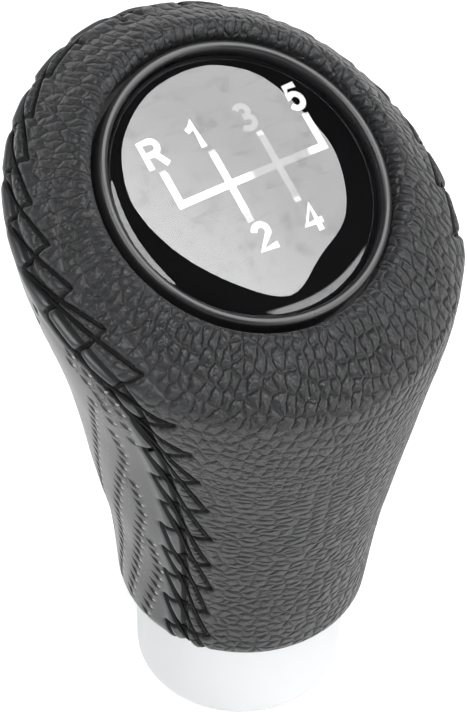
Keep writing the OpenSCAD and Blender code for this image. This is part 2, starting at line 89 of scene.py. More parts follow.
def tubes(name, lines, radius, rounding):  # round strands along lines of points in mm, as one mesh
    data = bpy.data.curves.new(name, "CURVE")
    data.dimensions = "3D"
    data.bevel_depth = radius * mm
    data.bevel_resolution = rounding
    data.use_fill_caps = True
    for line in lines:
        strand = data.splines.new("POLY")
        strand.points.add(len(line) - 1)
        strand.points.foreach_set("co", np.column_stack([line * mm, np.ones(len(line))]).ravel())
    piece = bpy.data.objects.new(name, data)
    scene.collection.objects.link(piece)
    makeActive(piece)
    bpy.ops.object.convert(target="MESH")
    return bpy.context.object


def turnProfile(name, profile, count, ending):  # profile as (radius, height) in mm
    clearSelection()
    radius, height = profile[0]
    bpy.ops.mesh.primitive_circle_add(vertices=count, radius=radius * mm, location=(0, 0, height * mm))
    piece = bpy.context.object
    placeInMesh(piece)
    bpy.ops.object.mode_set(mode="EDIT")
    bpy.ops.mesh.select_all(action="SELECT")
    for nextRadius, nextHeight in profile[1:]:
        rise = (nextHeight - height) * mm
        bpy.ops.mesh.extrude_region_move(TRANSFORM_OT_translate={"value": (0, 0, rise)})
        grow = nextRadius / radius
        if grow != 1:
            bpy.ops.transform.resize(value=(grow, grow, 1), center_override=(0, 0, nextHeight * mm))
        radius, height = nextRadius, nextHeight
    if ending == "pole":  # the last small loop closes in a point, the first one in a face
        bpy.ops.mesh.merge(type="CENTER")
        bpy.ops.mesh.select_all(action="DESELECT")
        bpy.ops.mesh.select_non_manifold()
        bpy.ops.mesh.fill_holes(sides=0)
    bpy.ops.mesh.select_all(action="SELECT")
    bpy.ops.mesh.remove_doubles(threshold=0.002 * mm)
    bpy.ops.mesh.normals_make_consistent(inside=False)
    bpy.ops.object.mode_set(mode="OBJECT")
    piece.name = name
    piece.data.name = name
    return piece


def oval(x, y, across, tall, start, end, steps=12):  # degrees, 0 points to the right
    turns = [math.radians(start + (end - start) * k / steps) for k in range(steps + 1)]
    return [(x + across * math.cos(a), y + tall * math.sin(a)) for a in turns]


def arc(x, y, radius, start, end, steps):
    return oval(x, y, radius, radius, start, end, steps)


# form of the grip, the same rule as the CAD's leather: t runs up the surface, angles run round it

grip = {
    "hemRadius": 16.5, "hemHeight": 14.5, "hemRound": 2.6, "hemLip": 14.7,
    "headRadius": 28.7, "capY": 3.0, "capZ": 80.6, "capTilt": 30.5,
    "wallRadius": 19.65, "rollRadius": 1.6, "rollRise": 0.3, "wallFoot": -4.45, "crestPull": 6.0,
    "leather": 1.2, "hemFold": 0.5, "lipShare": 0.45, "bulge": 1.4, "bulgeT": 4.9, "bulgeSpread": 0.6,
    "lowShares": [(0.122, 0.199, 0.157, 0.187, 0.104), (0.228, 0.339, 0.363, 0.352, 0.290),
                  (0.387, 0.506, 0.726, 0.645, 0.566)],
    "highShares": [(-1.140, -0.150, 0.845, -0.547, 0.999), (-1.084, -0.028, 1.002, -0.331, 0.953)],
}
crestT = 6  # where the flank ends and the rolled edge starts
tuckT = 8  # lower end of the wall tucked into the cap's recess
capLean = math.radians(grip["capTilt"])


def mix(a, b, k):
    return a + (b - a) * k


def ease(k):
    k = np.clip(k, 0, 1)
    return k * k * (3 - 2 * k)


def onPlane(along, out):  # a point of the cap's plane, as y and z
    y = grip["capY"] + along * math.cos(capLean) - out * math.sin(capLean)
    z = grip["capZ"] + along * math.sin(capLean) + out * math.cos(capLean)
    return y, z


def stationTable():
    low, head = grip["hemRadius"], grip["headRadius"]
    floor, top = grip["hemHeight"], grip["capZ"]
    rows = [(-low, floor, low, floor, low)]
    for s in grip["lowShares"]:
        rows.append((-mix(low, head, s[0]), mix(floor, top, s[1]),
                     mix(low, head, s[2]), mix(floor, top, s[3]), mix(low, head, s[4])))
    for s in grip["highShares"]:
        rows.append((*onPlane(s[0] * head, s[1] * head), *onPlane(s[2] * head, s[3] * head), s[4] * head))
    crest = grip["wallRadius"] + grip["rollRadius"]
    rows.append((*onPlane(-crest, grip["rollRise"]), *onPlane(crest, grip["rollRise"]), crest))
    rows = np.array(rows)
    pull = np.array(onPlane(grip["crestPull"], 0)) - np.array(onPlane(0, 0))
    before = 2 * rows[0] - rows[1]
    after = rows[5] + np.array((*pull, *-pull, -grip["crestPull"]))
    return np.vstack([before, rows, after])


stations = stationTable()
hemT = grip["hemRound"] / ((stations[2, 1] + stations[2, 3]) / 2 - grip["hemHeight"])


def throughFour(a, b, c, d, u):  # smooth curve from b to c
    bend, twist = 2 * a - 5 * b + 4 * c - d, 3 * b - a - 3 * c + d
    return 0.5 * (2 * b + (c - a) * u + bend * u ** 2 + twist * u ** 3)


def spline(t):
    i = np.clip(np.floor(t).astype(int), 0, crestT - 1)
    return throughFour(*(stations[i + k] for k in range(4)), (t - i)[:, None])


def onSection(t, angle, inset):
    s = spline(t)
    turn = np.radians(angle)
    run = s[:, 2:4] - s[:, 0:2]
    length = np.linalg.norm(run, axis=1)
    along = run / length[:, None]
    centre = (s[:, 0:2] + s[:, 2:4]) / 2
    reach = (length / 2 - inset) * np.sin(turn)
    bulge = grip["bulge"] * np.exp(-((t - grip["bulgeT"]) / grip["bulgeSpread"]) ** 2)
    reach += bulge * np.clip(-np.sin(turn), 0, 1) ** 2  # rounds the head's front edge
    x = (s[:, 4] - inset) * np.cos(turn)
    return np.column_stack([x, centre + reach[:, None] * along])


def onRoll(t, angle):
    turn = np.radians(90 * np.clip(t - crestT, 0, 1))
    radius = grip["wallRadius"] + grip["rollRadius"] * (1 - np.sin(turn))
    sunk = np.clip(t - crestT - 1, 0, 1) * (grip["rollRise"] - grip["rollRadius"] - grip["wallFoot"])
    out = grip["rollRise"] - grip["rollRadius"] * (1 - np.cos(turn)) - sunk
    y, z = onPlane(radius * np.sin(np.radians(angle)), out)
    return np.column_stack([radius * np.cos(np.radians(angle)), y, z])


def flank(t, angle):
    low = onSection(np.minimum(t, crestT), angle, 0)
    return np.where((t <= crestT)[:, None], low, onRoll(np.maximum(t, crestT), angle))


def skin(t, angle):  # the leather's outer side, rounded in at the hem
    k = 1 - np.clip(t / hemT, 0, 1)
    inset = (grip["hemRadius"] - grip["hemLip"]) * (1 - np.sqrt(1 - k * k))
    return np.where((t < hemT)[:, None], onSection(np.minimum(t, crestT), angle, inset), flank(t, angle))


def slopes(t, angle):
    up = flank(np.minimum(tuckT, t + 0.01), angle) - flank(np.maximum(0, t - 0.01), angle)
    along = flank(t, angle + 0.5) - flank(t, angle - 0.5)
    return up, along


def normals(t, angle):
    up, along = slopes(t, angle)
    n = np.cross(along, up)
    return n / np.linalg.norm(n, axis=1)[:, None]


def lining(t, angle):  # the leather's inner side
    inner = np.where(t < hemT, mix(grip["lipShare"] * hemT, hemT, t / hemT), t)
    depth = grip["leather"] + grip["hemFold"] * (1 - ease(t / (2 * hemT)))
    return flank(inner, angle) - depth[:, None] * normals(inner, angle)


# seam between the smooth and the perforated leather

seam = {
    "foot": 26.8, "knee": 32.0, "bendT": 0.3, "bentT": 2.5, "cornerT": 3.75, "side": 2.0, "sideT": 4.72,
    "backT": 5.2, "power": 1.8, "cornerCols": 6, "sideCols": 11, "gap": 0.3, "pitch": 5.3, "pitchGrowth": 0.05,
    "smoothReach": [(0, 3.2), (22, 3.6), (45, 4.3), (62, 3.3)],
    "piercedReach": [(0, 2.9), (22, 3.1), (34, 2.1), (60, 1.7)],
    "unevenRun": 0.25, "unevenReach": 0.2, "wayRun": 1.3,
}
halfCols = seam["cornerCols"] + seam["sideCols"]


def seamEdge(t):  # degrees in front of the knob's side
    return mix(seam["foot"], seam["knee"], ease((t - seam["bendT"]) / (seam["bentT"] - seam["bendT"])))


def seamCol(k):  # round the corner and over the back, as angle and height
    q = np.radians(90 * np.clip(k / seam["cornerCols"], 0, 1))
    phi = mix(seam["side"], -90, np.clip((k - seam["cornerCols"]) / seam["sideCols"], 0, 1))
    over = ((seam["side"] - phi) / (seam["side"] + 90)) ** seam["power"]
    corner = k <= seam["cornerCols"]
    angle = np.where(corner, mix(seam["side"], seam["knee"], np.cos(q)), phi)
    height = np.where(corner, mix(seam["cornerT"], seam["sideT"], np.sin(q)),
                      mix(seam["sideT"], seam["backT"], over))
    return angle, height


def rearCol(j):  # from the right seam round the back to the left seam
    angle, height = seamCol(np.where(j <= halfCols, j, 2 * halfCols - j))
    return np.where(j <= halfCols, -angle, 180 + angle), height, angle


lowT = np.linspace(0, seam["cornerT"], 70)
overAngle, overT = seamCol(np.linspace(0, halfCols, 110)[1:])
seamLine = np.column_stack([np.concatenate([lowT, overT]), 180 + np.concatenate([seamEdge(lowT), overAngle])])
seamPoints = skin(seamLine[:, 0], seamLine[:, 1])
seamRun = np.concatenate([[0], np.cumsum(np.linalg.norm(np.diff(seamPoints, axis=0), axis=1))])
firstHole = float(np.interp(1.4 * hemT, seamLine[:, 0][:70], seamRun[:70]))


def holeRun(i):  # how far up the seam stitch i is, with longer stitches on the head
    return firstHole + i * seam["pitch"] + i * i * seam["pitchGrowth"]


stitchCount = max(i for i in range(60) if holeRun(i) < seamRun[-1])


def seamAt(far):  # height and angle of the seam at a length along it
    return np.array([np.interp(far, seamRun, seamLine[:, 0]), np.interp(far, seamRun, seamLine[:, 1])])


def settle(t, angle, target):  # the place on the leather nearest to a point
    for _ in range(5):
        at = (np.array([t]), np.array([angle]))
        away = target - skin(*at)[0]
        up, around = (s[0] for s in slopes(*at))
        slant = up @ around
        spread = (up @ up) * (around @ around) - slant ** 2
        t += 0.02 * ((away @ up) * (around @ around) - (away @ around) * slant) / spread
        angle += ((away @ around) * (up @ up) - (away @ up) * slant) / spread
    return np.array([t, angle])


def besideSeam(far, reach):  # a place beside the seam, on the smooth leather where reach is above zero
    t, angle = seamAt(far)
    ends = np.array([seamAt(far - seam["wayRun"]), seamAt(far + seam["wayRun"])])
    along = np.diff(skin(ends[:, 0], ends[:, 1]), axis=0)[0]
    at = (np.array([t]), np.array([angle]))
    across = np.cross(along / np.linalg.norm(along), normals(*at)[0])
    return settle(t, angle, skin(*at)[0] + reach * across)


def laceHole(i, side):  # side 1 is the smooth leather, -1 the perforated one, stitched by hand
    far = min(seamRun[-1], holeRun(i) + seam["unevenRun"] * math.sin(5.3 * i + side))
    reaches = seam["smoothReach" if side > 0 else "piercedReach"]
    reach = np.interp(far, *zip(*reaches)) + seam["unevenReach"] * math.sin(3.7 * i + side)
    return besideSeam(far, side * reach)


# fields that the leather's relief is made of

def hashed(cells, salt):
    x, y, z = (cells[:, k].astype(np.int64) for k in range(3))
    h = (x * 73856093) ^ (y * 19349663) ^ (z * 83492791) ^ (salt * 974711)
    h = ((h ^ (h >> 13)) * 1274126177) & 0xffffffff
    h = ((h ^ (h >> 16)) * 2246822519) & 0xffffffff
    return ((h ^ (h >> 15)) & 0xffffff) / 0x1000000


def softNoise(points, salt):  # smooth values between -1 and 1
    base = np.floor(points)
    k = ease(points - base)
    total = np.zeros(len(points))
    for corner in np.ndindex(2, 2, 2):
        total += np.prod(np.where(corner, k, 1 - k), axis=1) * hashed(base + corner, salt)
    return 2 * total - 1


def cellEdges(points, salt):  # distance to the nearest cell edge, in cells
    base = np.floor(points)
    near, nextNear = np.full((2, len(points)), 9.0)
    nearAt, nextAt = np.zeros((2, *points.shape))
    for step in np.ndindex(3, 3, 3):
        cell = base + step - 1
        at = cell + 0.08 + 0.84 * np.column_stack([hashed(cell, salt + k) for k in range(3)])
        far = ((at - points) ** 2).sum(1)
        first = far < near
        second = ~first & (far < nextNear)
        nextAt[first], nextNear[first] = nearAt[first], near[first]
        nearAt[first], near[first] = at[first], far[first]
        nextAt[second], nextNear[second] = at[second], far[second]
    run = nextAt - nearAt
    length = np.maximum(np.linalg.norm(run, axis=1), 1e-6)
    return np.maximum((((nearAt + nextAt) / 2 - points) * run).sum(1) / length, 0)


def lineDistance(points, line):  # distance to a line of points
    best = np.full(len(points), 99.0)
    for a, b in zip(line[:-1], line[1:]):
        step = b - a
        k = np.clip((points - a) @ step / np.linalg.norm(step) ** 2, 0, 1)
        best = np.minimum(best, np.linalg.norm(points - a - k[:, None] * step, axis=1))
    return best


# lacing: a short bar straight across and a long diagonal from each hole of the smooth leather

lacing = {"radius": 0.2, "steps": 22, "span": 3, "headSpan": 2, "headFrom": 10, "barLift": -0.38,
          "barDip": 0.15, "crossLift": -0.15, "crossDip": 0.1, "tipLift": -0.22, "holeLift": -0.9,
          "hemLift": -0.5, "hemTurns": (-4.3, 3.2, 10.5), "sink": 0.1, "tipSink": 0.03, "grooveReach": 11}


def threadRoute(ends, lifts, sink):  # surface route through three places, and its height above the leather
    u = np.linspace(0, 1, lacing["steps"])
    first, middle, last = ends
    route = (np.outer((1 - u) * (1 - 2 * u), first) + np.outer(4 * u * (1 - u), middle)
             + np.outer(u * (2 * u - 1), last))
    lift = np.interp(u, (0, sink, 0.3, 0.5, 0.7, 1 - sink, 1), lifts)
    return route, lift


def lacingRoutes():
    routes = []
    hole, bar, cross = lacing["holeLift"], lacing["barLift"], lacing["crossLift"]
    low = cross - lacing["crossDip"]
    for i in range(stitchCount + 1):
        ends = (laceHole(i, 1), seamAt(holeRun(i)), laceHole(i, -1))
        lifts = (hole, bar, bar, bar - lacing["barDip"], bar, bar, hole)
        routes.append(threadRoute(ends, lifts, lacing["sink"]))
    for i in range(stitchCount - lacing["headSpan"] + 1):
        span = lacing["span"] if i < lacing["headFrom"] else lacing["headSpan"]
        foot, top = laceHole(i, 1), laceHole(i + span, -1)
        half = skin(*np.column_stack([foot, top])).mean(0)
        ends = (foot, settle(*seamAt(holeRun(i + span / 2)), half), top)
        lifts = (hole, lacing["tipLift"], cross, cross, low, bar, hole)
        routes.append(threadRoute(ends, lifts, lacing["tipSink"]))
    for i, turn in enumerate(lacing["hemTurns"]):  # the lowest diagonals come from under the hem
        foot, top = np.array([0.03, 180 + seam["foot"] + turn]), laceHole(i, -1)
        middle = settle(*((foot + top) / 2), skin(*np.column_stack([foot, top])).mean(0))
        lifts = (lacing["hemLift"], bar, low, cross, low, bar, hole)
        routes.append(threadRoute((foot, middle, top), lifts, lacing["sink"]))
    return routes


routes = lacingRoutes()
routePoints = [skin(r[:, 0], r[:, 1]) for r, lift in routes]
holePoints = np.array([skin(*laceHole(i, side)[:, None])[0]
                       for i in range(stitchCount + 1) for side in (1, -1)])


seamLabels = ("seamFar", "threadFar", "stitchFar")


def mirrored(points):  # both seams are worked out on the left side
    return np.column_stack([-np.abs(points[:, 0]), points[:, 1:]])


def seamFields(points):  # distances to the seam, to the nearest thread and to the nearest stitch hole
    left = mirrored(points)
    fields = np.full((3, len(points)), 9.0)
    rough = np.min([np.linalg.norm(left - p, axis=1) for p in seamPoints[::6]], axis=0)
    close = np.where(rough < 9)[0]
    fields[0, close] = lineDistance(left[close], seamPoints)
    inside = np.where(fields[0] < 5)[0]
    zone = left[inside]
    gap = np.full(len(zone), 9.0)
    for route in routePoints:
        around = np.where(np.linalg.norm(zone - route.mean(0), axis=1) < lacing["grooveReach"])[0]
        gap[around] = np.minimum(gap[around], lineDistance(zone[around], route))
    fields[1, inside] = gap
    fields[2, inside] = np.min([np.linalg.norm(zone - p, axis=1) for p in holePoints], axis=0)
    return fields


def seamRelief(fields, middle, spread, valley=0.6, puff=0.3, groove=0.34, dimple=0.3):
    far, thread, hole = fields
    puffed = puff * np.exp(-((far - middle) / spread) ** 2) * np.clip(thread / 0.9, 0, 1)
    sunk = valley * np.exp(-(far / 0.6) ** 2) + groove * np.exp(-(thread / 0.34) ** 2)
    return puffed - sunk - dimple * np.exp(-(hole / 0.5) ** 2)


def readAll(items, label, kind=np.float32, width=1):
    values = np.empty(len(items) * width, kind)
    items.foreach_get(label, values)
    return values


def readValues(mesh, label):
    return readAll(mesh.attributes[label].data, "value").astype(float)


def addValues(mesh, label, values):
    mesh.attributes.new(label, "FLOAT", "POINT").data.foreach_set("value", values.astype(np.float32))


def readPlaces(mesh):
    return readAll(mesh.vertices, "co", width=3).reshape(-1, 3).astype(float)


def writePlaces(mesh, places):  # in mm
    mesh.vertices.foreach_set("co", (places * mm).astype(np.float32).ravel())


sheetLabels = ("upT", "roundAngle", "outerSide")


def sheetOf(name, cols, rows, placing, outer):  # a grid primitive laid on the form
    clearSelection()
    bpy.ops.mesh.primitive_grid_add(x_subdivisions=cols, y_subdivisions=rows, size=1)
    sheet = bpy.context.object
    flat = np.clip(readPlaces(sheet.data) + 0.5, 0, 1)
    t, angle = placing(flat[:, 0], flat[:, 1])
    writePlaces(sheet.data, skin(t, angle) if outer else lining(t, angle))
    for label, values in zip(sheetLabels, (t, angle, np.full(len(t), float(outer)))):
        addValues(sheet.data, label, values)
    if not outer:
        editAll(bpy.ops.mesh.flip_normals)
    sheet.name = name
    return sheet


def mergeSheets(pieces, name):
    whole = joinPieces(pieces, name)
    editAll(lambda: bpy.ops.mesh.remove_doubles(threshold=0.004 * mm))
    return whole


def closeEdges(piece, tests):  # bridges the open edges of the outer and inner sides, one loop pair a test
    mesh = piece.data
    t = readValues(mesh, "upT")
    bpy.ops.object.mode_set(mode="EDIT")
    for test in tests:
        work = bmesh.from_edit_mesh(mesh)
        bpy.ops.mesh.select_all(action="DESELECT")
        work.edges.ensure_lookup_table()
        for edge in work.edges:
            if edge.is_boundary and all(test(t[v.index]) for v in edge.verts):
                edge.select_set(True)
        bmesh.update_edit_mesh(mesh)
        bpy.ops.mesh.bridge_edge_loops()
    bpy.ops.object.mode_set(mode="OBJECT")


def addPatternMap(mesh, t, angle):  # UV map in mm for the leather's grain, its cut at the back
    corners = readAll(mesh.loops, "vertex_index", np.int64)
    starts = readAll(mesh.polygons, "loop_start", np.int64)
    totals = readAll(mesh.polygons, "loop_total", np.int64)
    turn = ((angle - 90) % 360)[corners]
    widest = np.maximum.reduceat(turn, starts) - np.minimum.reduceat(turn, starts)
    turn = np.where((np.repeat(widest, totals) > 180) & (turn < 180), turn + 360, turn)
    steps = np.linspace(0, tuckT, 400)
    runs = []
    for way in (180, 270, 0):
        line = flank(steps, np.full(400, float(way)))
        runs.append(np.concatenate([[0], np.cumsum(np.linalg.norm(np.diff(line, axis=0), axis=1))]))
    rise = np.interp(t[corners], steps, np.mean(runs, axis=0))
    place = np.column_stack([np.radians(turn) * 24, rise])
    mesh.uv_layers.new(name="grain").data.foreach_set("uv", place.astype(np.float32).ravel())


def shapeLeather(piece, relief):  # moves the outer side by its relief and keeps the tones for the material
    mesh = piece.data
    t, angle, outer = (readValues(mesh, label) for label in sheetLabels)
    place = readPlaces(mesh) / mm
    rim = np.where(outer > 0.5)[0]
    points, out = skin(t[rim], angle[rim]), normals(t[rim], angle[rim])
    height, kept = relief(t[rim], angle[rim], points)
    place[rim] = points + height[:, None] * out
    writePlaces(mesh, place)
    for label, values in kept.items():
        full = np.full(len(mesh.vertices), 9.0)
        full[rim] = values
        addValues(mesh, label, full)
    addPatternMap(mesh, t, angle)
    for label in sheetLabels:
        mesh.attributes.remove(mesh.attributes[label])
    mesh.update()
    smoothPiece(piece, 60)


# smooth leather over the front and round the cap

smooth = {
    "frontCols": 200, "rearCols": 340, "frontRows": 172, "headRows": 84, "rollRows": 9, "wallRows": 3,
    "innerRows": (22, 3, 1), "edgeDense": 0.11, "headCell": (3.1, 3.1, 2.3), "headDepth": 0.03,
    "wave": 0.07, "ripple": 0.03, "puffMiddle": 2.0, "puffSpread": 1.5,
}
ringCols = smooth["frontCols"] + smooth["rearCols"]
frontShare = smooth["frontCols"] / ringCols


def denserEnds(u):  # columns stand closer together beside the seams
    return u - smooth["edgeDense"] * np.sin(2 * np.pi * u)


def frontPlace(u, v):
    t = v * seam["cornerT"]
    edge = seamEdge(t)
    return t, 180 + edge + (180 - 2 * edge) * denserEnds(u)


def headPlace(u, v, rows):
    front = u <= frontShare
    across = denserEnds(np.clip(u / frontShare, 0, 1))
    rearAngle, rearT, _ = rearCol(np.clip((u - frontShare) / (1 - frontShare), 0, 1) * 2 * halfCols)
    startT = np.where(front, seam["cornerT"], rearT)
    angle = np.where(front, 180 + seam["knee"] + (180 - 2 * seam["knee"]) * across, 360 + rearAngle)
    head, roll, wall = rows
    row = v * (head + roll + wall)
    onHead = mix(startT, crestT, np.clip(row / head, 0, 1) ** 1.15)
    rolled = np.clip((row - head) / roll, 0, 1) + np.clip((row - head - roll) / wall, 0, 1)
    return np.where(row <= head, onHead, crestT + rolled), angle


def smoothRelief(t, angle, points):
    fields = seamFields(points)
    drift = np.column_stack([softNoise(points / 2.6, 11 + k) for k in range(3)])
    edge = cellEdges((points + 0.7 * drift) / smooth["headCell"], 31)
    high = ease((points[:, 2] - 44) / 16)
    calm = 1 - 0.6 * ease((t - 5.8) / 0.4)  # the stretched leather of the roll is smoother
    pillow = high * smooth["headDepth"] * (np.minimum(edge, 0.3) / 0.3 - 0.6)
    wave = smooth["wave"] * softNoise(points / 6.5, 81) + smooth["ripple"] * softNoise(points / 2.2, 82)
    height = seamRelief(fields, smooth["puffMiddle"], smooth["puffSpread"])
    height = (height + (pillow + wave) * calm * ease(t / hemT)) * (1 - ease((t - 6.8) / 0.4))
    return height, dict(zip(seamLabels, fields), upward=t)


print("stage: smooth leather")
rowsFine = (smooth["headRows"], smooth["rollRows"], smooth["wallRows"])
fineRows = sum(rowsFine)
outerSheets = [sheetOf("smoothFront", smooth["frontCols"], smooth["frontRows"], frontPlace, True),
               sheetOf("smoothHead", ringCols, fineRows, lambda u, v: headPlace(u, v, rowsFine), True)]
innerSheets = [sheetOf("innerFront", smooth["frontCols"] // 4, smooth["frontRows"] // 4, frontPlace, False),
               sheetOf("innerHead", ringCols // 4, fineRows // 3,
                       lambda u, v: headPlace(u, v, smooth["innerRows"]), False)]
smoothCover = mergeSheets(outerSheets + innerSheets, "smoothCover")
closeEdges(smoothCover, [lambda t: t > 7.9, lambda t: t < 7.9])
shapeLeather(smoothCover, smoothRelief)


# perforated leather round the sides and back

pierced = {
    "cols": 300, "rows": 300, "holePitch": 1.95, "headPitch": 3.1, "nearAngle": 186.8, "columnTurn": 12.6,
    "lean": 1.03, "leanHeight": 19.7, "columns": 8, "lastAngle": 195.5, "endGap": 5.0, "seamMargin": 3.1,
    "hemMargin": 2.2, "wave": 0.08, "pitDepth": 0.16, "seamRows": [(45, 3.3), (47.5, 6.0)], "seamRowEnd": 64,
    "apart": 1.7, "hemShare": 0.045, "topT": 5.4, "puffMiddle": 1.6, "puffSpread": 1.1,
}


def piercedPlace(u, v):
    angle, top, phi = rearCol(u * 2 * halfCols)
    topT = top - seam["gap"] * hemT / grip["hemRound"]
    hem = pierced["hemShare"]
    t = np.where(v < hem, hemT * v / hem, mix(hemT, topT, np.clip((v - hem) / (1 - hem), 0, 1)))
    corner = np.clip((phi - seam["side"]) / (seam["knee"] - seam["side"]), 0, 1)
    less = (seam["knee"] - seamEdge(t)) * corner + math.degrees(seam["gap"] / grip["hemRadius"]) * corner
    return t, angle + np.where(u <= 0.5, less, -less)


def piercedHoles():  # columns of holes that lean towards the seam as they rise, the same on both sides
    places = []
    steps = np.linspace(0, pierced["topT"], 900)
    height = skin(steps, np.full(900, 180.0))[:, 2]
    for column in range(pierced["columns"]):
        foot = pierced["nearAngle"] - column * pierced["columnTurn"]
        rise = pierced["lean"] * min(1, (foot - 90) / 60) * (height - pierced["leanHeight"])
        angle = np.minimum(foot + rise, pierced["lastAngle"])
        follower = foot - pierced["columnTurn"] + rise
        line = skin(steps, angle)
        gaps = mix(pierced["holePitch"], pierced["headPitch"], ease((line[1:, 2] - 52) / 20))
        count = np.concatenate([[0], np.cumsum(np.linalg.norm(np.diff(line, axis=0), axis=1) / gaps)])
        start = pierced["hemMargin"] / pierced["holePitch"] + (column % 2) / 2
        for number in np.arange(start, count[-1]):
            t, a = np.interp(number, count, steps), np.interp(number, count, angle)
            if np.interp(number, count, follower) < pierced["lastAngle"] - pierced["endGap"]:
                places += [(t, a), (t, 180 - a)]
    places = np.array(places)
    points = skin(places[:, 0], places[:, 1])
    clear = lineDistance(mirrored(points), seamPoints) > pierced["seamMargin"]
    points = points[clear & np.array([under(t, a) for t, a in places])]
    beside = np.array([skin(*besideSeam(run, -reach)[:, None])[0] for start, reach in pierced["seamRows"]
                       for run in np.arange(start, pierced["seamRowEnd"], pierced["headPitch"])])
    beside = np.vstack([beside, beside * (-1, 1, 1)])
    apart = np.array([np.linalg.norm(beside - point, axis=1).min() for point in points])
    return np.vstack([points[apart > pierced["apart"]], beside])


def under(t, angle):  # true below the seam's arch
    turn = (angle + 360) % 360
    phi = turn - 180 if 90 < turn < 270 else (-turn if turn <= 90 else 360 - turn)
    if t <= seam["cornerT"]:
        return phi < seamEdge(t)
    cols = np.linspace(0, halfCols, 200)
    phis, heights = seamCol(cols)
    return phi < seam["knee"] and t < np.interp(-phi, -phis, heights)


def piercedRelief(t, angle, points):
    fields = seamFields(points)
    holes = piercedHoles()
    finder = kdtree.KDTree(len(holes))
    for i, hole in enumerate(holes):
        finder.insert(hole, i)
    finder.balance()
    nearest = np.array([holes[finder.find(point)[1]] for point in points])
    away = points - nearest
    up, around = slopes(t, angle)
    up /= np.linalg.norm(up, axis=1)[:, None]
    around /= np.linalg.norm(around, axis=1)[:, None]
    holeX, holeY = (np.clip((away * way).sum(1), -3, 3) for way in (around, up))
    holeFar = np.linalg.norm(away, axis=1)
    pit = pierced["pitDepth"] * np.exp(-(holeX ** 2 + holeY ** 2) / 0.45 ** 2)
    wave = pierced["wave"] * softNoise(points / 5, 91)
    height = seamRelief(fields, pierced["puffMiddle"], pierced["puffSpread"]) + wave * ease(t / hemT) - pit
    return height, dict(zip(seamLabels, fields), holeX=holeX, holeY=holeY, holeFar=holeFar)


print("stage: perforated leather")
cols, rows = pierced["cols"], pierced["rows"]
piercedCover = mergeSheets([sheetOf("piercedOuter", cols, rows, piercedPlace, True),
                            sheetOf("piercedInner", cols // 4, rows // 4, piercedPlace, False)],
                           "piercedCover")
closeEdges(piercedCover, [lambda t: True])
shapeLeather(piercedCover, piercedRelief)


# lacing threads

def laceSide(name, side):
    lines = [(skin(*route.T) + lift[:, None] * normals(*route.T)) * (side, 1, 1) for route, lift in routes]
    thread = tubes(name, lines, lacing["radius"], 2)
    smoothPiece(thread, 60)
    return thread


print("stage: lacing")
leftLace = laceSide("leftLace", 1)
rightLace = laceSide("rightLace", -1)


# collar, bezel, dome and shift numbers

collar = {"radius": 14.5, "foot": 14.0, "round": 1.5, "height": 14.5, "top": 18.5, "bore": 12.9,
          "mouth": 10.4, "lip": 1.2, "edge": 0.25}
profile = [(collar["mouth"], 0.2), (collar["mouth"] + 0.2, 0)]
profile += arc(collar["foot"] - collar["round"], collar["round"], collar["round"], -90, 0, 14)
profile += [(collar["radius"], collar["height"]), (collar["radius"], collar["top"] - collar["edge"]),
            (collar["radius"] - collar["edge"], collar["top"]), (collar["bore"], collar["top"]),
            (collar["bore"], collar["lip"]), (collar["mouth"], collar["lip"]), (collar["mouth"], 0.2)]
collarShell = turnProfile("collarShell", profile, 192, "ring")
smoothPiece(collarShell, 35)

cap = {"bezelRadius": 19.0, "bezelWidth": 1.25, "bezelDepth": 4.4, "rimRound": 0.5, "flange": 1.0,
       "flangeRadius": 16.0, "domeDrop": 1.7, "domeDip": 0.02, "domeRadius": 17.65, "edgeWidth": 1.7,
       "edgeRise": 0.85, "crownRise": 1.17, "poleRadius": 0.2, "count": 256}
inner = cap["bezelRadius"] - cap["bezelWidth"]
corner = cap["rimRound"]
profile = [(cap["flangeRadius"], -cap["bezelDepth"]), (cap["bezelRadius"], -cap["bezelDepth"])]
profile += arc(cap["bezelRadius"] - corner, -corner, corner, 0, 90, 6)
profile += arc(inner + corner, -corner, corner, 90, 180, 6)
flange = cap["flange"] - cap["bezelDepth"]
profile += [(inner, flange), (cap["flangeRadius"], flange), (cap["flangeRadius"], -cap["bezelDepth"])]
bezelRim = turnProfile("bezelRim", profile, cap["count"], "ring")

crownRadius = cap["domeRadius"] - cap["edgeWidth"]
sphere = (crownRadius ** 2 + cap["crownRise"] ** 2) / (2 * cap["crownRise"])  # radius of the shallow crown
profile = [(0.6, -cap["domeDrop"] - cap["domeDip"]), (cap["domeRadius"], -cap["domeDrop"] - cap["domeDip"])]
slope = crownRadius / math.sqrt(sphere ** 2 - crownRadius ** 2)
bendHeight = cap["edgeRise"] - slope * cap["edgeWidth"]
for u in np.linspace(0, 1, 17).tolist():  # rounded shoulder that runs into the crown without a break
    profile.append((cap["domeRadius"] - u * u * cap["edgeWidth"],
                    -cap["domeDrop"] + 2 * u * (1 - u) * bendHeight + u * u * cap["edgeRise"]))
crownFoot = -cap["domeDrop"] + cap["edgeRise"] - math.sqrt(sphere ** 2 - crownRadius ** 2)
for k in range(1, 26):
    r = mix(crownRadius, cap["poleRadius"], k / 25)
    profile.append((r, crownFoot + math.sqrt(sphere ** 2 - r ** 2)))
domeGlass = turnProfile("domeGlass", profile, cap["count"], "pole")


def setOnCap(piece):  # from the cap's own plane to its place on the head
    piece.rotation_euler = (capLean, 0, 0)
    piece.location = (0, grip["capY"] * mm, grip["capZ"] * mm)
    placeInMesh(piece)


for piece in (bezelRim, domeGlass):
    setOnCap(piece)
    smoothPiece(piece, 30)

numbers = {"height": 3.95, "stroke": 0.86, "thickness": 0.05,
           "places": {"R": (-9.15, 7.85), "1": (-2.9, 8.0), "3": (4.4, 7.6), "5": (12.0, 7.75),
                      "2": (-1.55, -7.05), "4": (5.5, -7.15)}}

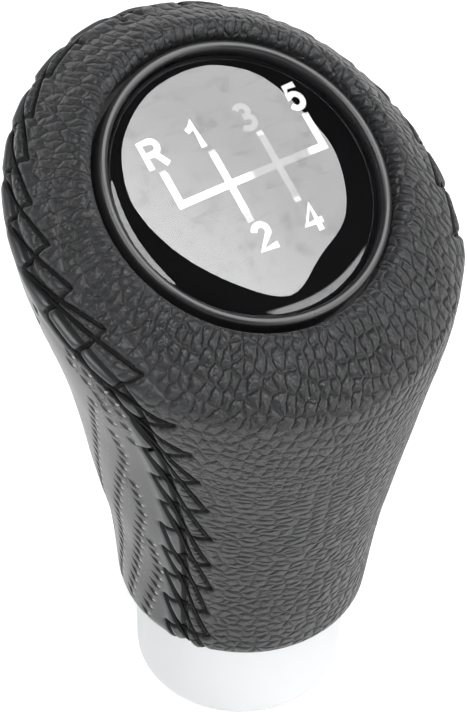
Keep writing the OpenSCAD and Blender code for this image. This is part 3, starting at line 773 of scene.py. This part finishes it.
# strokes of each sign in a square of height 1, its middle at zero
signStrokes = {
    "R": [[(-0.27, -0.5), (-0.27, 0.4), (0.05, 0.4)] + oval(0.05, 0.185, 0.21, 0.215, 90, -90)
          + [(-0.27, -0.03)],
          [(-0.02, -0.03), (0.12, -0.12), (0.33, -0.5)]],
    "1": [[(-0.2, 0.16), (-0.05, 0.22), (0.08, 0.42), (0.08, -0.5)]],
    "2": [oval(0, 0.17, 0.235, 0.235, 165, -25) + [(-0.25, -0.39), (0.33, -0.39)]],
    "3": [oval(-0.02, 0.2, 0.215, 0.2, 150, -80) + [(-0.08, 0.01)],
          [(-0.08, 0.01)] + oval(-0.02, -0.19, 0.25, 0.21, 80, -150)],
    "4": [[(0.14, -0.5), (0.14, 0.38), (-0.27, -0.19), (0.34, -0.19)]],
    "5": [[(0.25, 0.39), (-0.14, 0.39), (-0.21, 0.0)] + oval(-0.01, -0.15, 0.245, 0.25, 130, -155)],
}
signs = []
for sign, (x, y) in numbers["places"].items():
    strokes = [np.array([(*point, 0) for point in stroke]) * numbers["height"]
               for stroke in signStrokes[sign]]
    piece = tubes("sign" + sign, strokes, numbers["stroke"] / 2, 3)
    piece.scale = (1, 1, numbers["thickness"] / numbers["stroke"])  # flat, as ink is
    piece.location = (x * mm, y * mm, (numbers["thickness"] / 2 - cap["domeDrop"]) * mm)
    placeInMesh(piece)
    signs.append(piece)

gate = {"columns": (-9.15, -2.05, 5.05, 12.15), "row": 0.5, "half": 0.475, "sunk": 0.01,
        "tops": (4.95, 4.8, 4.7, 5.1), "feet": (None, -3.45, -4.1, None)}
half, row = gate["half"], gate["row"]
outline = []  # along the lower side and back along the upper one
for x, foot in zip(gate["columns"], gate["feet"]):
    if foot is not None:
        outline += [(x - half, row - half), (x - half, foot), (x + half, foot), (x + half, row - half)]
outline = [(gate["columns"][0] - half, row - half)] + outline + [(gate["columns"][3] + half, row - half)]
for k in (3, 2, 1, 0):
    x = gate["columns"][k]
    outline += [(x + half, row + half)] if k < 3 else []
    outline += [(x + half, gate["tops"][k]), (x - half, gate["tops"][k])]
    outline += [(x - half, row + half)] if k > 0 else []
clearSelection()
bpy.ops.mesh.primitive_circle_add(vertices=len(outline), fill_type="NGON", radius=0.01)
gateLines = bpy.context.object
for vertex, (x, y) in zip(gateLines.data.vertices, outline):
    vertex.co = (x * mm, y * mm, (-cap["domeDrop"] - gate["sunk"]) * mm)
rise = (numbers["thickness"] + gate["sunk"]) * mm
editAll(lambda: bpy.ops.mesh.extrude_region_move(TRANSFORM_OT_translate={"value": (0, 0, rise)}),
        lambda: bpy.ops.mesh.normals_make_consistent(inside=False))
shiftNumbers = joinPieces(signs + [gateLines], "shiftNumbers")
setOnCap(shiftNumbers)
print("stage: collar and cap")


# materials

def setInputs(tree, node, values):  # each value is a plain one or another node's output
    for name, value in (values or {}).items():
        if isinstance(value, bpy.types.NodeSocket):
            tree.links.new(value, node.inputs[name])
        else:
            node.inputs[name].default_value = value
    return node


def addNode(tree, kind, values=None, **settings):
    node = tree.nodes.new(kind)
    for key, value in settings.items():
        setattr(node, key, value)
    return setInputs(tree, node, values)


def newMaterial(name, values=None):
    material = bpy.data.materials.new(name)
    material.use_nodes = True
    tree = material.node_tree
    return material, tree, setInputs(tree, tree.nodes["Principled BSDF"], values)


def newGroup(name, inputs, outputs):  # inputs as name: plain value, or None for a vector
    group = bpy.data.node_groups.new(name, "ShaderNodeTree")
    for label, value in inputs.items():
        kind = "NodeSocketVector" if value is None else "NodeSocketFloat"
        socket = group.interface.new_socket(label, in_out="INPUT", socket_type=kind)
        if value is not None:
            socket.default_value = value
    for label in outputs:
        group.interface.new_socket(label, in_out="OUTPUT", socket_type="NodeSocketFloat")
    return group, addNode(group, "NodeGroupInput").outputs, addNode(group, "NodeGroupOutput")


def mathNode(tree, operation, first, second=0):
    return addNode(tree, "ShaderNodeMath", {0: first, 1: second}, operation=operation).outputs[0]


def times(tree, first, second):
    return mathNode(tree, "MULTIPLY", first, second)


def plus(tree, first, second):
    return mathNode(tree, "ADD", first, second)


def rootOfSum(tree, first, second):
    return mathNode(tree, "SQRT", plus(tree, first, second))


def vectorNode(tree, operation, first, second):
    node = addNode(tree, "ShaderNodeVectorMath", {0: first, 1: second}, operation=operation)
    return node.outputs["Value" if operation == "DOT_PRODUCT" else "Vector"]


def smoothStep(tree, source, low, high, start=0.0, end=1.0):
    values = {"Value": source, "From Min": low, "From Max": high, "To Min": start, "To Max": end}
    return addNode(tree, "ShaderNodeMapRange", values, interpolation_type="SMOOTHSTEP").outputs["Result"]


def mixColours(tree, share, a, b):
    return addNode(tree, "ShaderNodeMix", {"Factor": share, 6: a, 7: b}, data_type="RGBA").outputs[2]


def mixNumbers(tree, share, a, b):
    return addNode(tree, "ShaderNodeMix", {0: share, 2: a, 3: b}, data_type="FLOAT").outputs[0]


def noise(tree, place, scale, detail, **more):
    values = {"Vector": place, "Scale": scale, "Detail": detail, **more}
    return addNode(tree, "ShaderNodeTexNoise", values).outputs


def attribute(tree, name):
    return addNode(tree, "ShaderNodeAttribute", attribute_name=name).outputs["Fac"]


def objectPlace(tree, scale=(1000, 1000, 1000)):  # in mm, or in units of a pattern of its own
    place = addNode(tree, "ShaderNodeTexCoord").outputs["Object"]
    return addNode(tree, "ShaderNodeMapping", {"Vector": place, "Scale": scale}).outputs["Vector"]


def axes(tree, place):
    return addNode(tree, "ShaderNodeSeparateXYZ", {0: place}).outputs


def grainGroup():  # fine surface: a height for bump and a slow mottling
    group, entry, leave = newGroup("fineGrain", {"Place": None, "Pores": 3000, "Mottle": 250},
                                   ("Height", "Patches"))
    values = {"Vector": entry["Place"], "Scale": entry["Pores"], "Smoothness": 0.4}
    pores = addNode(group, "ShaderNodeTexVoronoi", values, feature="SMOOTH_F1").outputs["Distance"]
    fuzz = noise(group, entry["Place"], entry["Pores"], 4)["Fac"]
    patches = noise(group, entry["Place"], entry["Mottle"], 3)["Fac"]
    total = addNode(group, "ShaderNodeMath", {0: pores, 1: 0.6, 2: fuzz}, operation="MULTIPLY_ADD").outputs[0]
    setInputs(group, leave, {"Height": total, "Patches": patches})
    return group


fineGrain = grainGroup()


def addGrain(tree, pores, mottle):
    place = addNode(tree, "ShaderNodeTexCoord").outputs["Object"]
    values = {"Place": place, "Pores": pores, "Mottle": mottle}
    return addNode(tree, "ShaderNodeGroup", values, node_tree=fineGrain).outputs


def addRamp(tree, source, stops):  # stops as (position, grey or colour)
    ramp = addNode(tree, "ShaderNodeValToRGB")
    for k, (position, tone) in enumerate(stops):
        colour = (*tone, 1) if isinstance(tone, tuple) else (tone, tone, tone, 1)
        stop = ramp.color_ramp.elements[k] if k < 2 else ramp.color_ramp.elements.new(position)
        stop.position = position
        stop.color = colour
    tree.links.new(source, ramp.inputs["Fac"])
    return ramp.outputs["Color"]


def addBump(tree, shader, source, strength, distance):
    values = {"Strength": strength, "Distance": distance * mm, "Height": source}
    bump = addNode(tree, "ShaderNodeBump", values)
    tree.links.new(bump.outputs["Normal"], shader.inputs["Normal"])


def creaseGroup():  # grained leather: height in mm and crease mask, from a place in mm
    inputs = {"Place": None, "Cell": None, "Width": 0.15, "Depth": 0.15, "Pillow": 0.08}
    group, entry, leave = newGroup("leatherCreases", inputs, ("Height", "Crease"))
    scaled = vectorNode(group, "DIVIDE", entry["Place"], entry["Cell"])
    cells = addNode(group, "ShaderNodeTexVoronoi", {"Vector": scaled, "Scale": 1, "Randomness": 0.8},
                    feature="DISTANCE_TO_EDGE", voronoi_dimensions="2D").outputs["Distance"]
    share = smoothStep(group, cells, 0, entry["Width"], 1, 0)
    raised = times(group, smoothStep(group, cells, 0, 0.5), entry["Pillow"])
    cut = times(group, share, entry["Depth"])
    setInputs(group, leave, {"Height": mathNode(group, "SUBTRACT", raised, cut), "Crease": share})
    return group


leatherCreases = creaseGroup()


def addCreases(tree, place, cell, width, depth, pillow):
    values = {"Place": place, "Cell": cell, "Width": width, "Depth": depth, "Pillow": pillow}
    return addNode(tree, "ShaderNodeGroup", values, node_tree=leatherCreases).outputs


def wavedPlace(tree, waves):  # grain map in mm, bent by noises given as (size, reach)
    place = addNode(tree, "ShaderNodeUVMap", uv_map="grain").outputs["UV"]
    bent = place
    for size, reach in waves:
        shift = vectorNode(tree, "SUBTRACT", noise(tree, place, 1 / size, 1)["Color"], (0.5, 0.5, 0.5))
        bent = vectorNode(tree, "ADD", bent, vectorNode(tree, "MULTIPLY", shift, (reach, reach, reach)))
    return bent


def turnedPlace(tree, place, degrees):
    values = {"Vector": place, "Angle": math.radians(degrees)}
    return addNode(tree, "ShaderNodeVectorRotate", values, rotation_type="Z_AXIS").outputs["Vector"]


def seamShade(tree):  # painted shade along the seam's valley, in the threads' grooves and round the stitch holes
    total = None
    for name, low, high, most in (("seamFar", 0.1, 0.6, 0.9), ("threadFar", 0.2, 0.5, 0.97),
                                  ("stitchFar", 0.15, 0.42, 1.0)):
        part = smoothStep(tree, attribute(tree, name), low, high, most, 0)
        total = part if total is None else mathNode(tree, "MAXIMUM", total, part)
    return total


def dustSpecks(tree, look):
    values = {"Vector": objectPlace(tree), "Scale": 1 / look["dustGap"]}
    specks = addNode(tree, "ShaderNodeTexVoronoi", values, feature="F1")
    return addRamp(tree, specks.outputs["Distance"], [(0.0, 1.0), (look["dust"], 0.0)])


def finishLeather(tree, shader, look, height, hollowShade):  # colour, gloss and relief shared by both leathers, with painted shade in the creases, the holes and along the seam
    grain = addGrain(tree, look["pores"], look["mottle"])
    tops = addRamp(tree, grain["Patches"], [(0.3, look["dark"]), (0.7, look["light"])])
    # painted shade: creases, and the holes of the perforated leather, darkened towards a near-black colour
    creaseShaded = mixColours(tree, times(tree, hollowShade, look["creaseShadeShare"]), tops, (*look["creaseShadeColour"], 1))
    # painted shade along the seam, its threads' grooves and stitch holes, in the line colour
    lines = seamShade(tree)
    seamShadedTone = mixColours(tree, lines, creaseShaded, (*look["line"], 1))
    rough = addRamp(tree, grain["Patches"], [(0.25, look["gloss"]), (0.75, look["matt"])])
    colour = mixColours(tree, dustSpecks(tree, look), seamShadedTone, (0.45, 0.44, 0.42, 1))
    blur = mixColours(tree, lines, rough, (0.8, 0.8, 0.8, 1))
    setInputs(tree, shader, {"Base Color": colour, "Roughness": blur, "Specular IOR Level": look["shine"],
                             "Sheen Weight": look["sheen"]})
    fine = times(tree, grain["Height"], look["grain"])
    addBump(tree, shader, plus(tree, plus(tree, height, fine), times(tree, lines, -0.3)), 1.0, 1.0)
    return colour


def smoothLeatherMaterial(look):
    material, tree, shader = newMaterial("smoothLeather")
    bent = wavedPlace(tree, look["waves"])
    slanted = turnedPlace(tree, bent, look["headTurn"])
    head = addCreases(tree, slanted, look["headCell"], 0.2, look["headDepth"], 0.26)
    fine = addCreases(tree, slanted, look["fineCell"], 0.16, look["fineDepth"], 0.05)
    low = addCreases(tree, bent, look["lowCell"], 0.2, look["lowDepth"], 0.34)
    high = smoothStep(tree, axes(tree, objectPlace(tree))["Z"], look["lowTop"], look["headFoot"])
    headCut = mathNode(tree, "MAXIMUM", head["Crease"], times(tree, fine["Crease"], 0.5))
    height = mixNumbers(tree, high, low["Height"], plus(tree, head["Height"], fine["Height"]))
    cut = mixNumbers(tree, high, low["Crease"], headCut)
    calm = smoothStep(tree, attribute(tree, "upward"), 5.75, 6.2, 1, look["rollShare"])
    strip = smoothStep(tree, attribute(tree, "seamFar"), 3.6, 4.8, look["stripShare"], 1)
    calm = times(tree, calm, strip)
    finishLeather(tree, shader, look, times(tree, height, calm), times(tree, cut, calm))
    return material


def squareOf(tree, far, reach):
    return mathNode(tree, "POWER", mathNode(tree, "ABSOLUTE", mathNode(tree, "DIVIDE", far, reach)), 2)


def piercedLeatherMaterial(look):
    material, tree, shader = newMaterial("piercedLeather")
    across, along = attribute(tree, "holeX"), attribute(tree, "holeY")
    slantX, slantY = look["slant"]
    lengthwise = plus(tree, times(tree, across, slantX), times(tree, along, -slantY))
    sideways = plus(tree, times(tree, across, slantY), times(tree, along, slantX))
    taper = plus(tree, look["wide"], times(tree, lengthwise, look["taper"]))
    far = rootOfSum(tree, squareOf(tree, sideways, taper), squareOf(tree, lengthwise, look["long"]))
    near = smoothStep(tree, mathNode(tree, "ABSOLUTE", along), 0.84, 0.95, 1, 0)
    near = times(tree, near, smoothStep(tree, attribute(tree, "holeFar"), 1.3, 1.45, 1, 0))
    pit = times(tree, smoothStep(tree, far, 0.3, 1.15, -look["depth"], 0), near)
    # painted shade inside each hole
    dark = times(tree, smoothStep(tree, far, 0.8, 1.02, 1, 0), near)
    # painted highlight: a grey spot at the lower right edge of each hole, its mask named shine
    paintedGlintX = times(tree, mathNode(tree, "SUBTRACT", across, look["paintedGlint"][0]), 0.7)
    paintedGlintY = mathNode(tree, "SUBTRACT", along, look["paintedGlint"][1])
    paintedGlintFar = rootOfSum(tree, times(tree, paintedGlintX, paintedGlintX), times(tree, paintedGlintY, paintedGlintY))
    shine = smoothStep(tree, paintedGlintFar, 0.12, 0.26, 0.9, 0)
    colour = finishLeather(tree, shader, look, pit, dark)
    setInputs(tree, shader, {"Base Color": mixColours(tree, shine, colour, (0.5, 0.5, 0.5, 1))})
    return material


leather = {
    "smooth": {"pores": 3200, "mottle": 160, "dark": (0.019, 0.020, 0.022), "light": (0.033, 0.034, 0.037),
               # the crease and line colours are painted shade, in the creases and along the seam
               "creaseShadeColour": (0.004, 0.004, 0.004), "creaseShadeShare": 0.75, "line": (0.002, 0.002, 0.002),
               "sheen": 0.14, "gloss": 0.38, "matt": 0.5, "shine": 0.5, "grain": 0.012,
               "dust": 0.03, "dustGap": 4.0,
               "waves": ((2.6, 0.9), (0.8, 0.4)), "headTurn": 14, "headCell": (1.3, 2.3, 1), "headDepth": 0.3,
               "fineCell": (0.8, 1.2, 1), "fineDepth": 0.04, "lowCell": (2.5, 1.25, 1), "lowDepth": 0.36,
               "lowTop": 44, "headFoot": 60, "rollShare": 0.55, "stripShare": 0.4},
    "pierced": {"pores": 4200, "mottle": 140, "dark": (0.044, 0.045, 0.048), "light": (0.058, 0.060, 0.064),
                # the crease and line colours are painted shade, in the holes and along the seam
                "creaseShadeColour": (0.004, 0.004, 0.004), "creaseShadeShare": 0.97, "line": (0.003, 0.003, 0.003),
                "sheen": 0.15, "gloss": 0.30, "matt": 0.38, "shine": 0.6, "grain": 0.006,
                "dust": 0.02, "dustGap": 4.0,
                "slant": (0.85, 0.53), "wide": 0.66, "taper": 0.28, "long": 1.2, "depth": 0.35,
                # place of the painted highlight in each hole
                "paintedGlint": (0.62, -0.38)},
}
smoothLeather = smoothLeatherMaterial(leather["smooth"])
piercedLeather = piercedLeatherMaterial(leather["pierced"])


def plainFinish(name, base, metal, rough, spread, scale, bump=0.0, shine=0.5):
    material, tree, shader = newMaterial(name, {"Metallic": metal, "Specular IOR Level": shine})
    grain = addGrain(tree, scale, scale / 12)
    dark, light = (tuple(min(1, c * share) for c in base) for share in (1 - spread, 1 + spread))
    blur = [(0.3, rough * 0.88), (0.7, min(1, rough * 1.12))]
    setInputs(tree, shader, {"Base Color": addRamp(tree, grain["Patches"], [(0.3, dark), (0.7, light)]),
                             "Roughness": addRamp(tree, grain["Patches"], blur)})
    if bump:
        addBump(tree, shader, grain["Height"], bump, 0.02)
    return material


plain = {  # colour, metal, roughness, spread of the tones, pores in a metre, bump, shine
    "threadBlack": ((0.004, 0.004, 0.004), 0, 0.65, 0.25, 5000, 0.8, 0.2),
    "satinMetal": ((0.74, 0.75, 0.76), 0.75, 0.42, 0.015, 2600, 0.08),
    "bezelBlack": ((0.025, 0.025, 0.027), 0, 0.3, 0.15, 2200, 0.12, 0.6),
    "plateGloss": ((0.004, 0.004, 0.0045), 0, 0.5, 0.2, 900, 0.0, 0.0),
    "sleeveNylon": ((0.035, 0.035, 0.037), 0, 0.5, 0.15, 1800, 0.2),
    "springSteel": ((0.55, 0.56, 0.58), 1, 0.3, 0.05, 1500),
    "platedSteel": ((0.62, 0.62, 0.60), 1, 0.32, 0.05, 1500),
    "corePlastic": ((0.05, 0.05, 0.053), 0, 0.55, 0.12, 1600, 0.2),
    "paddingFoam": ((0.55, 0.53, 0.45), 0, 0.9, 0.1, 1500, 0.8),
    "capPlastic": ((0.03, 0.03, 0.032), 0, 0.45, 0.12, 1500),
    "glueFoam": ((0.7, 0.7, 0.68), 0, 0.85, 0.06, 1600, 0.5),
}
finishes = {name: plainFinish(name, *values) for name, values in plain.items()}


def domeResin():  # clear resin, its sheen broken by smudges and fine scratches
    material, tree, shader = newMaterial("domeResin", {"Base Color": (1, 1, 1, 1), "Transmission Weight": 1.0,
                                                       "Roughness": 0.0})
    smudges = noise(tree, objectPlace(tree), 0.33, 9, Roughness=0.72)["Fac"]
    scratches = noise(tree, objectPlace(tree, (250, 1800, 1300)), 1.0, 5)["Fac"]
    marks = plus(tree, times(tree, smoothStep(tree, smudges, 0.50, 0.68), 0.13),
                 times(tree, smoothStep(tree, scratches, 0.56, 0.66), 0.05))
    setInputs(tree, shader, {"IOR": mathNode(tree, "SUBTRACT", 1.85, marks)})
    rays = addNode(tree, "ShaderNodeLightPath").outputs  # the lamps' light falls straight on the print
    through = mathNode(tree, "MAXIMUM", rays["Is Shadow Ray"], rays["Is Diffuse Ray"])
    clear = addNode(tree, "ShaderNodeBsdfTransparent").outputs[0]
    choice = addNode(tree, "ShaderNodeMixShader", {0: through, 1: shader.outputs[0], 2: clear})
    tree.links.new(choice.outputs[0], tree.nodes["Material Output"].inputs["Surface"])
    return material


domeClear = domeResin()


def printInk(look):  # white ink, greyer over the middle gates
    material, tree, shader = newMaterial("printWhite", {"Roughness": 0.5, "Specular IOR Level": 0.0})
    place = axes(tree, objectPlace(tree))
    fade = smoothStep(tree, place["X"], look["faintFrom"], look["faintFrom"] + look["fade"])
    back = times(tree, smoothStep(tree, place["X"], look["faintTo"] - look["fade"], look["faintTo"], 1, 0),
                 smoothStep(tree, place["Z"], look["faintAbove"] - 0.5, look["faintAbove"]))
    patches = addGrain(tree, 900, 300)["Patches"]
    white = addRamp(tree, patches, [(0.3, look["white"] * 0.98), (0.7, look["white"])])
    faint = addRamp(tree, patches, [(0.3, look["faint"] * 0.85), (0.7, look["faint"] * 1.15)])
    setInputs(tree, shader, {"Base Color": mixColours(tree, times(tree, fade, back), white, faint)})
    return material


printWhite = printInk({"white": 0.92, "faint": 0.18, "faintFrom": 0.5, "faintTo": 10.6, "fade": 1.2,
                       "faintAbove": 77.0})


def giveMaterial(piece, material):
    piece.data.materials.clear()
    piece.data.materials.append(material)


nodeFinishes = {
    "lever_sleeve": "sleeveNylon", "spring_clip": "springSteel", "sleeve_washer": "platedSteel",
    "sleeve_screw": "platedSteel", "grip_core": "corePlastic", "foam_padding": "paddingFoam",
    "cap_base": "capPlastic", "cap_adhesive": "glueFoam", "emblem_plate": "plateGloss",
}
for node, finish in nodeFinishes.items():
    giveMaterial(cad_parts[node], finishes[finish])
giveMaterial(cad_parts["shift_pattern"], printWhite)

newPieces = [
    (smoothCover, smoothLeather, ("front_cover",), "smooth_leather"),
    (piercedCover, piercedLeather, ("rear_cover",), "perforated_leather"),
    (leftLace, finishes["threadBlack"], ("left_lacing",), "black_thread"),
    (rightLace, finishes["threadBlack"], ("right_lacing",), "black_thread"),
    (collarShell, finishes["satinMetal"], ("collar",), "satin_metal"),
    (bezelRim, finishes["bezelBlack"], ("bezel_ring",), "bezel_black"),
    (domeGlass, domeClear, ("dome_lens",), "clear_resin"),
    (shiftNumbers, printWhite, ("shift_pattern",), "print_white"),
]
for piece, material, nodes, slot in newPieces:
    giveMaterial(piece, material)
    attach(piece, "root")
    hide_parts(*nodes)
print("stage: materials")


# studio: pale floor, softbox, world and camera

studio = {"floorSize": 4.0, "floorGlow": 0.52, "softDirection": (0.485, -0.2, 0.852), "softDistance": 0.9,
          "softGlow": (5.2, 7.4), "softSide": (0.5, 0.87), "softFrom": 0.1, "softTo": 0.35,
          "softShape": [(0.185, 0.24), (0.03, 0.32), (-0.15, 0.31), (-0.285, 0.2), (-0.355, 0.03),
                        (-0.35, -0.14), (-0.21, -0.215), (-0.07, -0.28), (0.09, -0.255), (0.195, -0.165),
                        (0.27, -0.07), (0.285, 0.065), (0.24, 0.16)],
          "leftPanel": (-0.42, -0.30, 0.86), "leftReach": 0.38, "leftGlow": 4.4,
          "rightPanel": (0.55, -0.74, 0.38), "rightEdge": (0.93, 0.95), "rightGlow": 3.5,
          "wallTop": (0.22, 0.34), "ceilingGlow": 0.03, "farSide": (0.8, 0.6, 0), "farShade": 0.3, "wallGlow": 0.6, "overheadGlow": 0.35,
          "cameraSide": (-0.61, -0.79, 0.0), "cameraShade": 0.03}


def roundedOutline(points, steps):  # smooth closed curve through a few points
    sides = [[np.array(points[(i + k - 1) % len(points)]) for k in range(4)] for i in range(len(points))]
    return [throughFour(*four, u) for four in sides for u in np.arange(steps) / steps]


def paint(piece, name, values):  # a glowing paint for the studio
    values = {"Base Color": (0, 0, 0, 1), "Emission Color": (1, 1, 1, 1), **values}
    material, tree, shader = newMaterial(name, values)
    giveMaterial(piece, material)
    return tree, shader


clearSelection()
bpy.ops.mesh.primitive_plane_add(size=studio["floorSize"], location=(0, 0, -0.0001))
floor = bpy.context.object
floor.name = "paleFloor"
tree, shader = paint(floor, "floorPaint", {"Base Color": (0.8, 0.8, 0.8, 1), "Roughness": 0.9,
                                           "Specular IOR Level": 0.1})
rays = addNode(tree, "ShaderNodeLightPath").outputs
seen = mathNode(tree, "MAXIMUM", rays["Is Camera Ray"], rays["Is Glossy Ray"])
setInputs(tree, shader, {"Emission Strength": times(tree, seen, studio["floorGlow"])})

clearSelection()
aim = Vector(studio["softDirection"]).normalized()
sideways = Vector((0, 0, 1)).cross(aim).normalized()
upwards = aim.cross(sideways)
centre = Vector((0, grip["capY"] * mm, grip["capZ"] * mm))
softOutline = roundedOutline(studio["softShape"], 6)
bpy.ops.mesh.primitive_circle_add(vertices=len(softOutline), fill_type="NGON", radius=0.1)
softbox = bpy.context.object
softbox.name = "softbox"
for vertex, (x, y) in zip(softbox.data.vertices, softOutline):
    vertex.co = centre + studio["softDistance"] * (aim + float(x) * sideways + float(y) * upwards)
tree, shader = paint(softbox, "softPaint", {})
lighter = studio["softSide"][0] * upwards - studio["softSide"][1] * sideways  # its near left side
middle = (centre + studio["softDistance"] * aim).dot(lighter)
lean = vectorNode(tree, "DOT_PRODUCT", addNode(tree, "ShaderNodeTexCoord").outputs["Object"], lighter)
strength = smoothStep(tree, lean, middle - studio["softFrom"], middle + studio["softTo"], *studio["softGlow"])
setInputs(tree, shader, {"Emission Strength": strength})

clearSelection()
aim = Vector(studio["leftPanel"]).normalized()
place = centre + studio["softDistance"] * aim
bpy.ops.mesh.primitive_circle_add(vertices=48, fill_type="NGON", radius=studio["leftReach"], location=place,
                                  rotation=aim.to_track_quat("Z", "Y").to_euler())
leftPanel = bpy.context.object
leftPanel.name = "leftPanel"
paint(leftPanel, "panelPaint", {"Emission Strength": studio["leftGlow"]})

world = bpy.data.worlds.new("paleRoom")
scene.world = world
world.use_nodes = True
tree = world.node_tree
rays = addNode(tree, "ShaderNodeLightPath").outputs
ways = addNode(tree, "ShaderNodeTexCoord").outputs["Generated"]
rise = axes(tree, ways)["Z"]


def towards(direction, *limits):  # a smooth share round one direction of the room
    return smoothStep(tree, vectorNode(tree, "DOT_PRODUCT", ways, direction), *limits)


walls = times(tree, smoothStep(tree, rise, *studio["wallTop"], 1, studio["ceilingGlow"]),
              towards(studio["farSide"], 0.2, 0.7, 1, studio["farShade"]))  # pale, under a dark ceiling
shaded = towards(studio["cameraSide"], 0.1, 0.9, 1, studio["cameraShade"])  # darker where the camera stands
room = plus(tree, times(tree, walls, shaded),
            towards(Vector(studio["rightPanel"]).normalized(), *studio["rightEdge"], 0, studio["rightGlow"]))
fill = times(tree, smoothStep(tree, rise, 0.2, 0.7, studio["wallGlow"], studio["overheadGlow"]), shaded)
light = mixColours(tree, rays["Is Glossy Ray"], fill, room)
light = mixColours(tree, rays["Is Transmission Ray"], light, room)
light = mixColours(tree, rays["Is Camera Ray"], light, (1, 1, 1, 1))
setInputs(tree, tree.nodes["Background"], {"Color": light})

view = {"focalPixels": 2800, "tallPixels": 715, "elevation": 42.37, "azimuth": 37.49, "roll": 2.89,
        "distance": 364.24, "aimHeight": 42.75, "right": -2.52, "up": 7.87}
high, turn, roll = (math.radians(view[k]) for k in ("elevation", "azimuth", "roll"))
back = Vector((-math.sin(turn) * math.cos(high), -math.cos(turn) * math.cos(high), math.sin(high)))
right = Vector((math.cos(turn), -math.sin(turn), 0))
up = back.cross(right)
target = Vector((0, 0, view["aimHeight"])) + view["right"] * right + view["up"] * up
place = target + view["distance"] * back
cameraRight = math.cos(roll) * right + math.sin(roll) * up
cameraUp = math.cos(roll) * up - math.sin(roll) * right
lens = bpy.data.cameras.new("photoView")
lens.sensor_width = 36
lens.lens = view["focalPixels"] * 36 / view["tallPixels"]
lens.clip_start = 0.01
camera = bpy.data.objects.new("photoView", lens)
scene.collection.objects.link(camera)
facing = Matrix((cameraRight, cameraUp, back)).transposed().to_4x4()
camera.matrix_world = Matrix.Translation(place * mm) @ facing
scene.camera = camera
scene.view_settings.view_transform = "Standard"
print("stage: studio and camera")
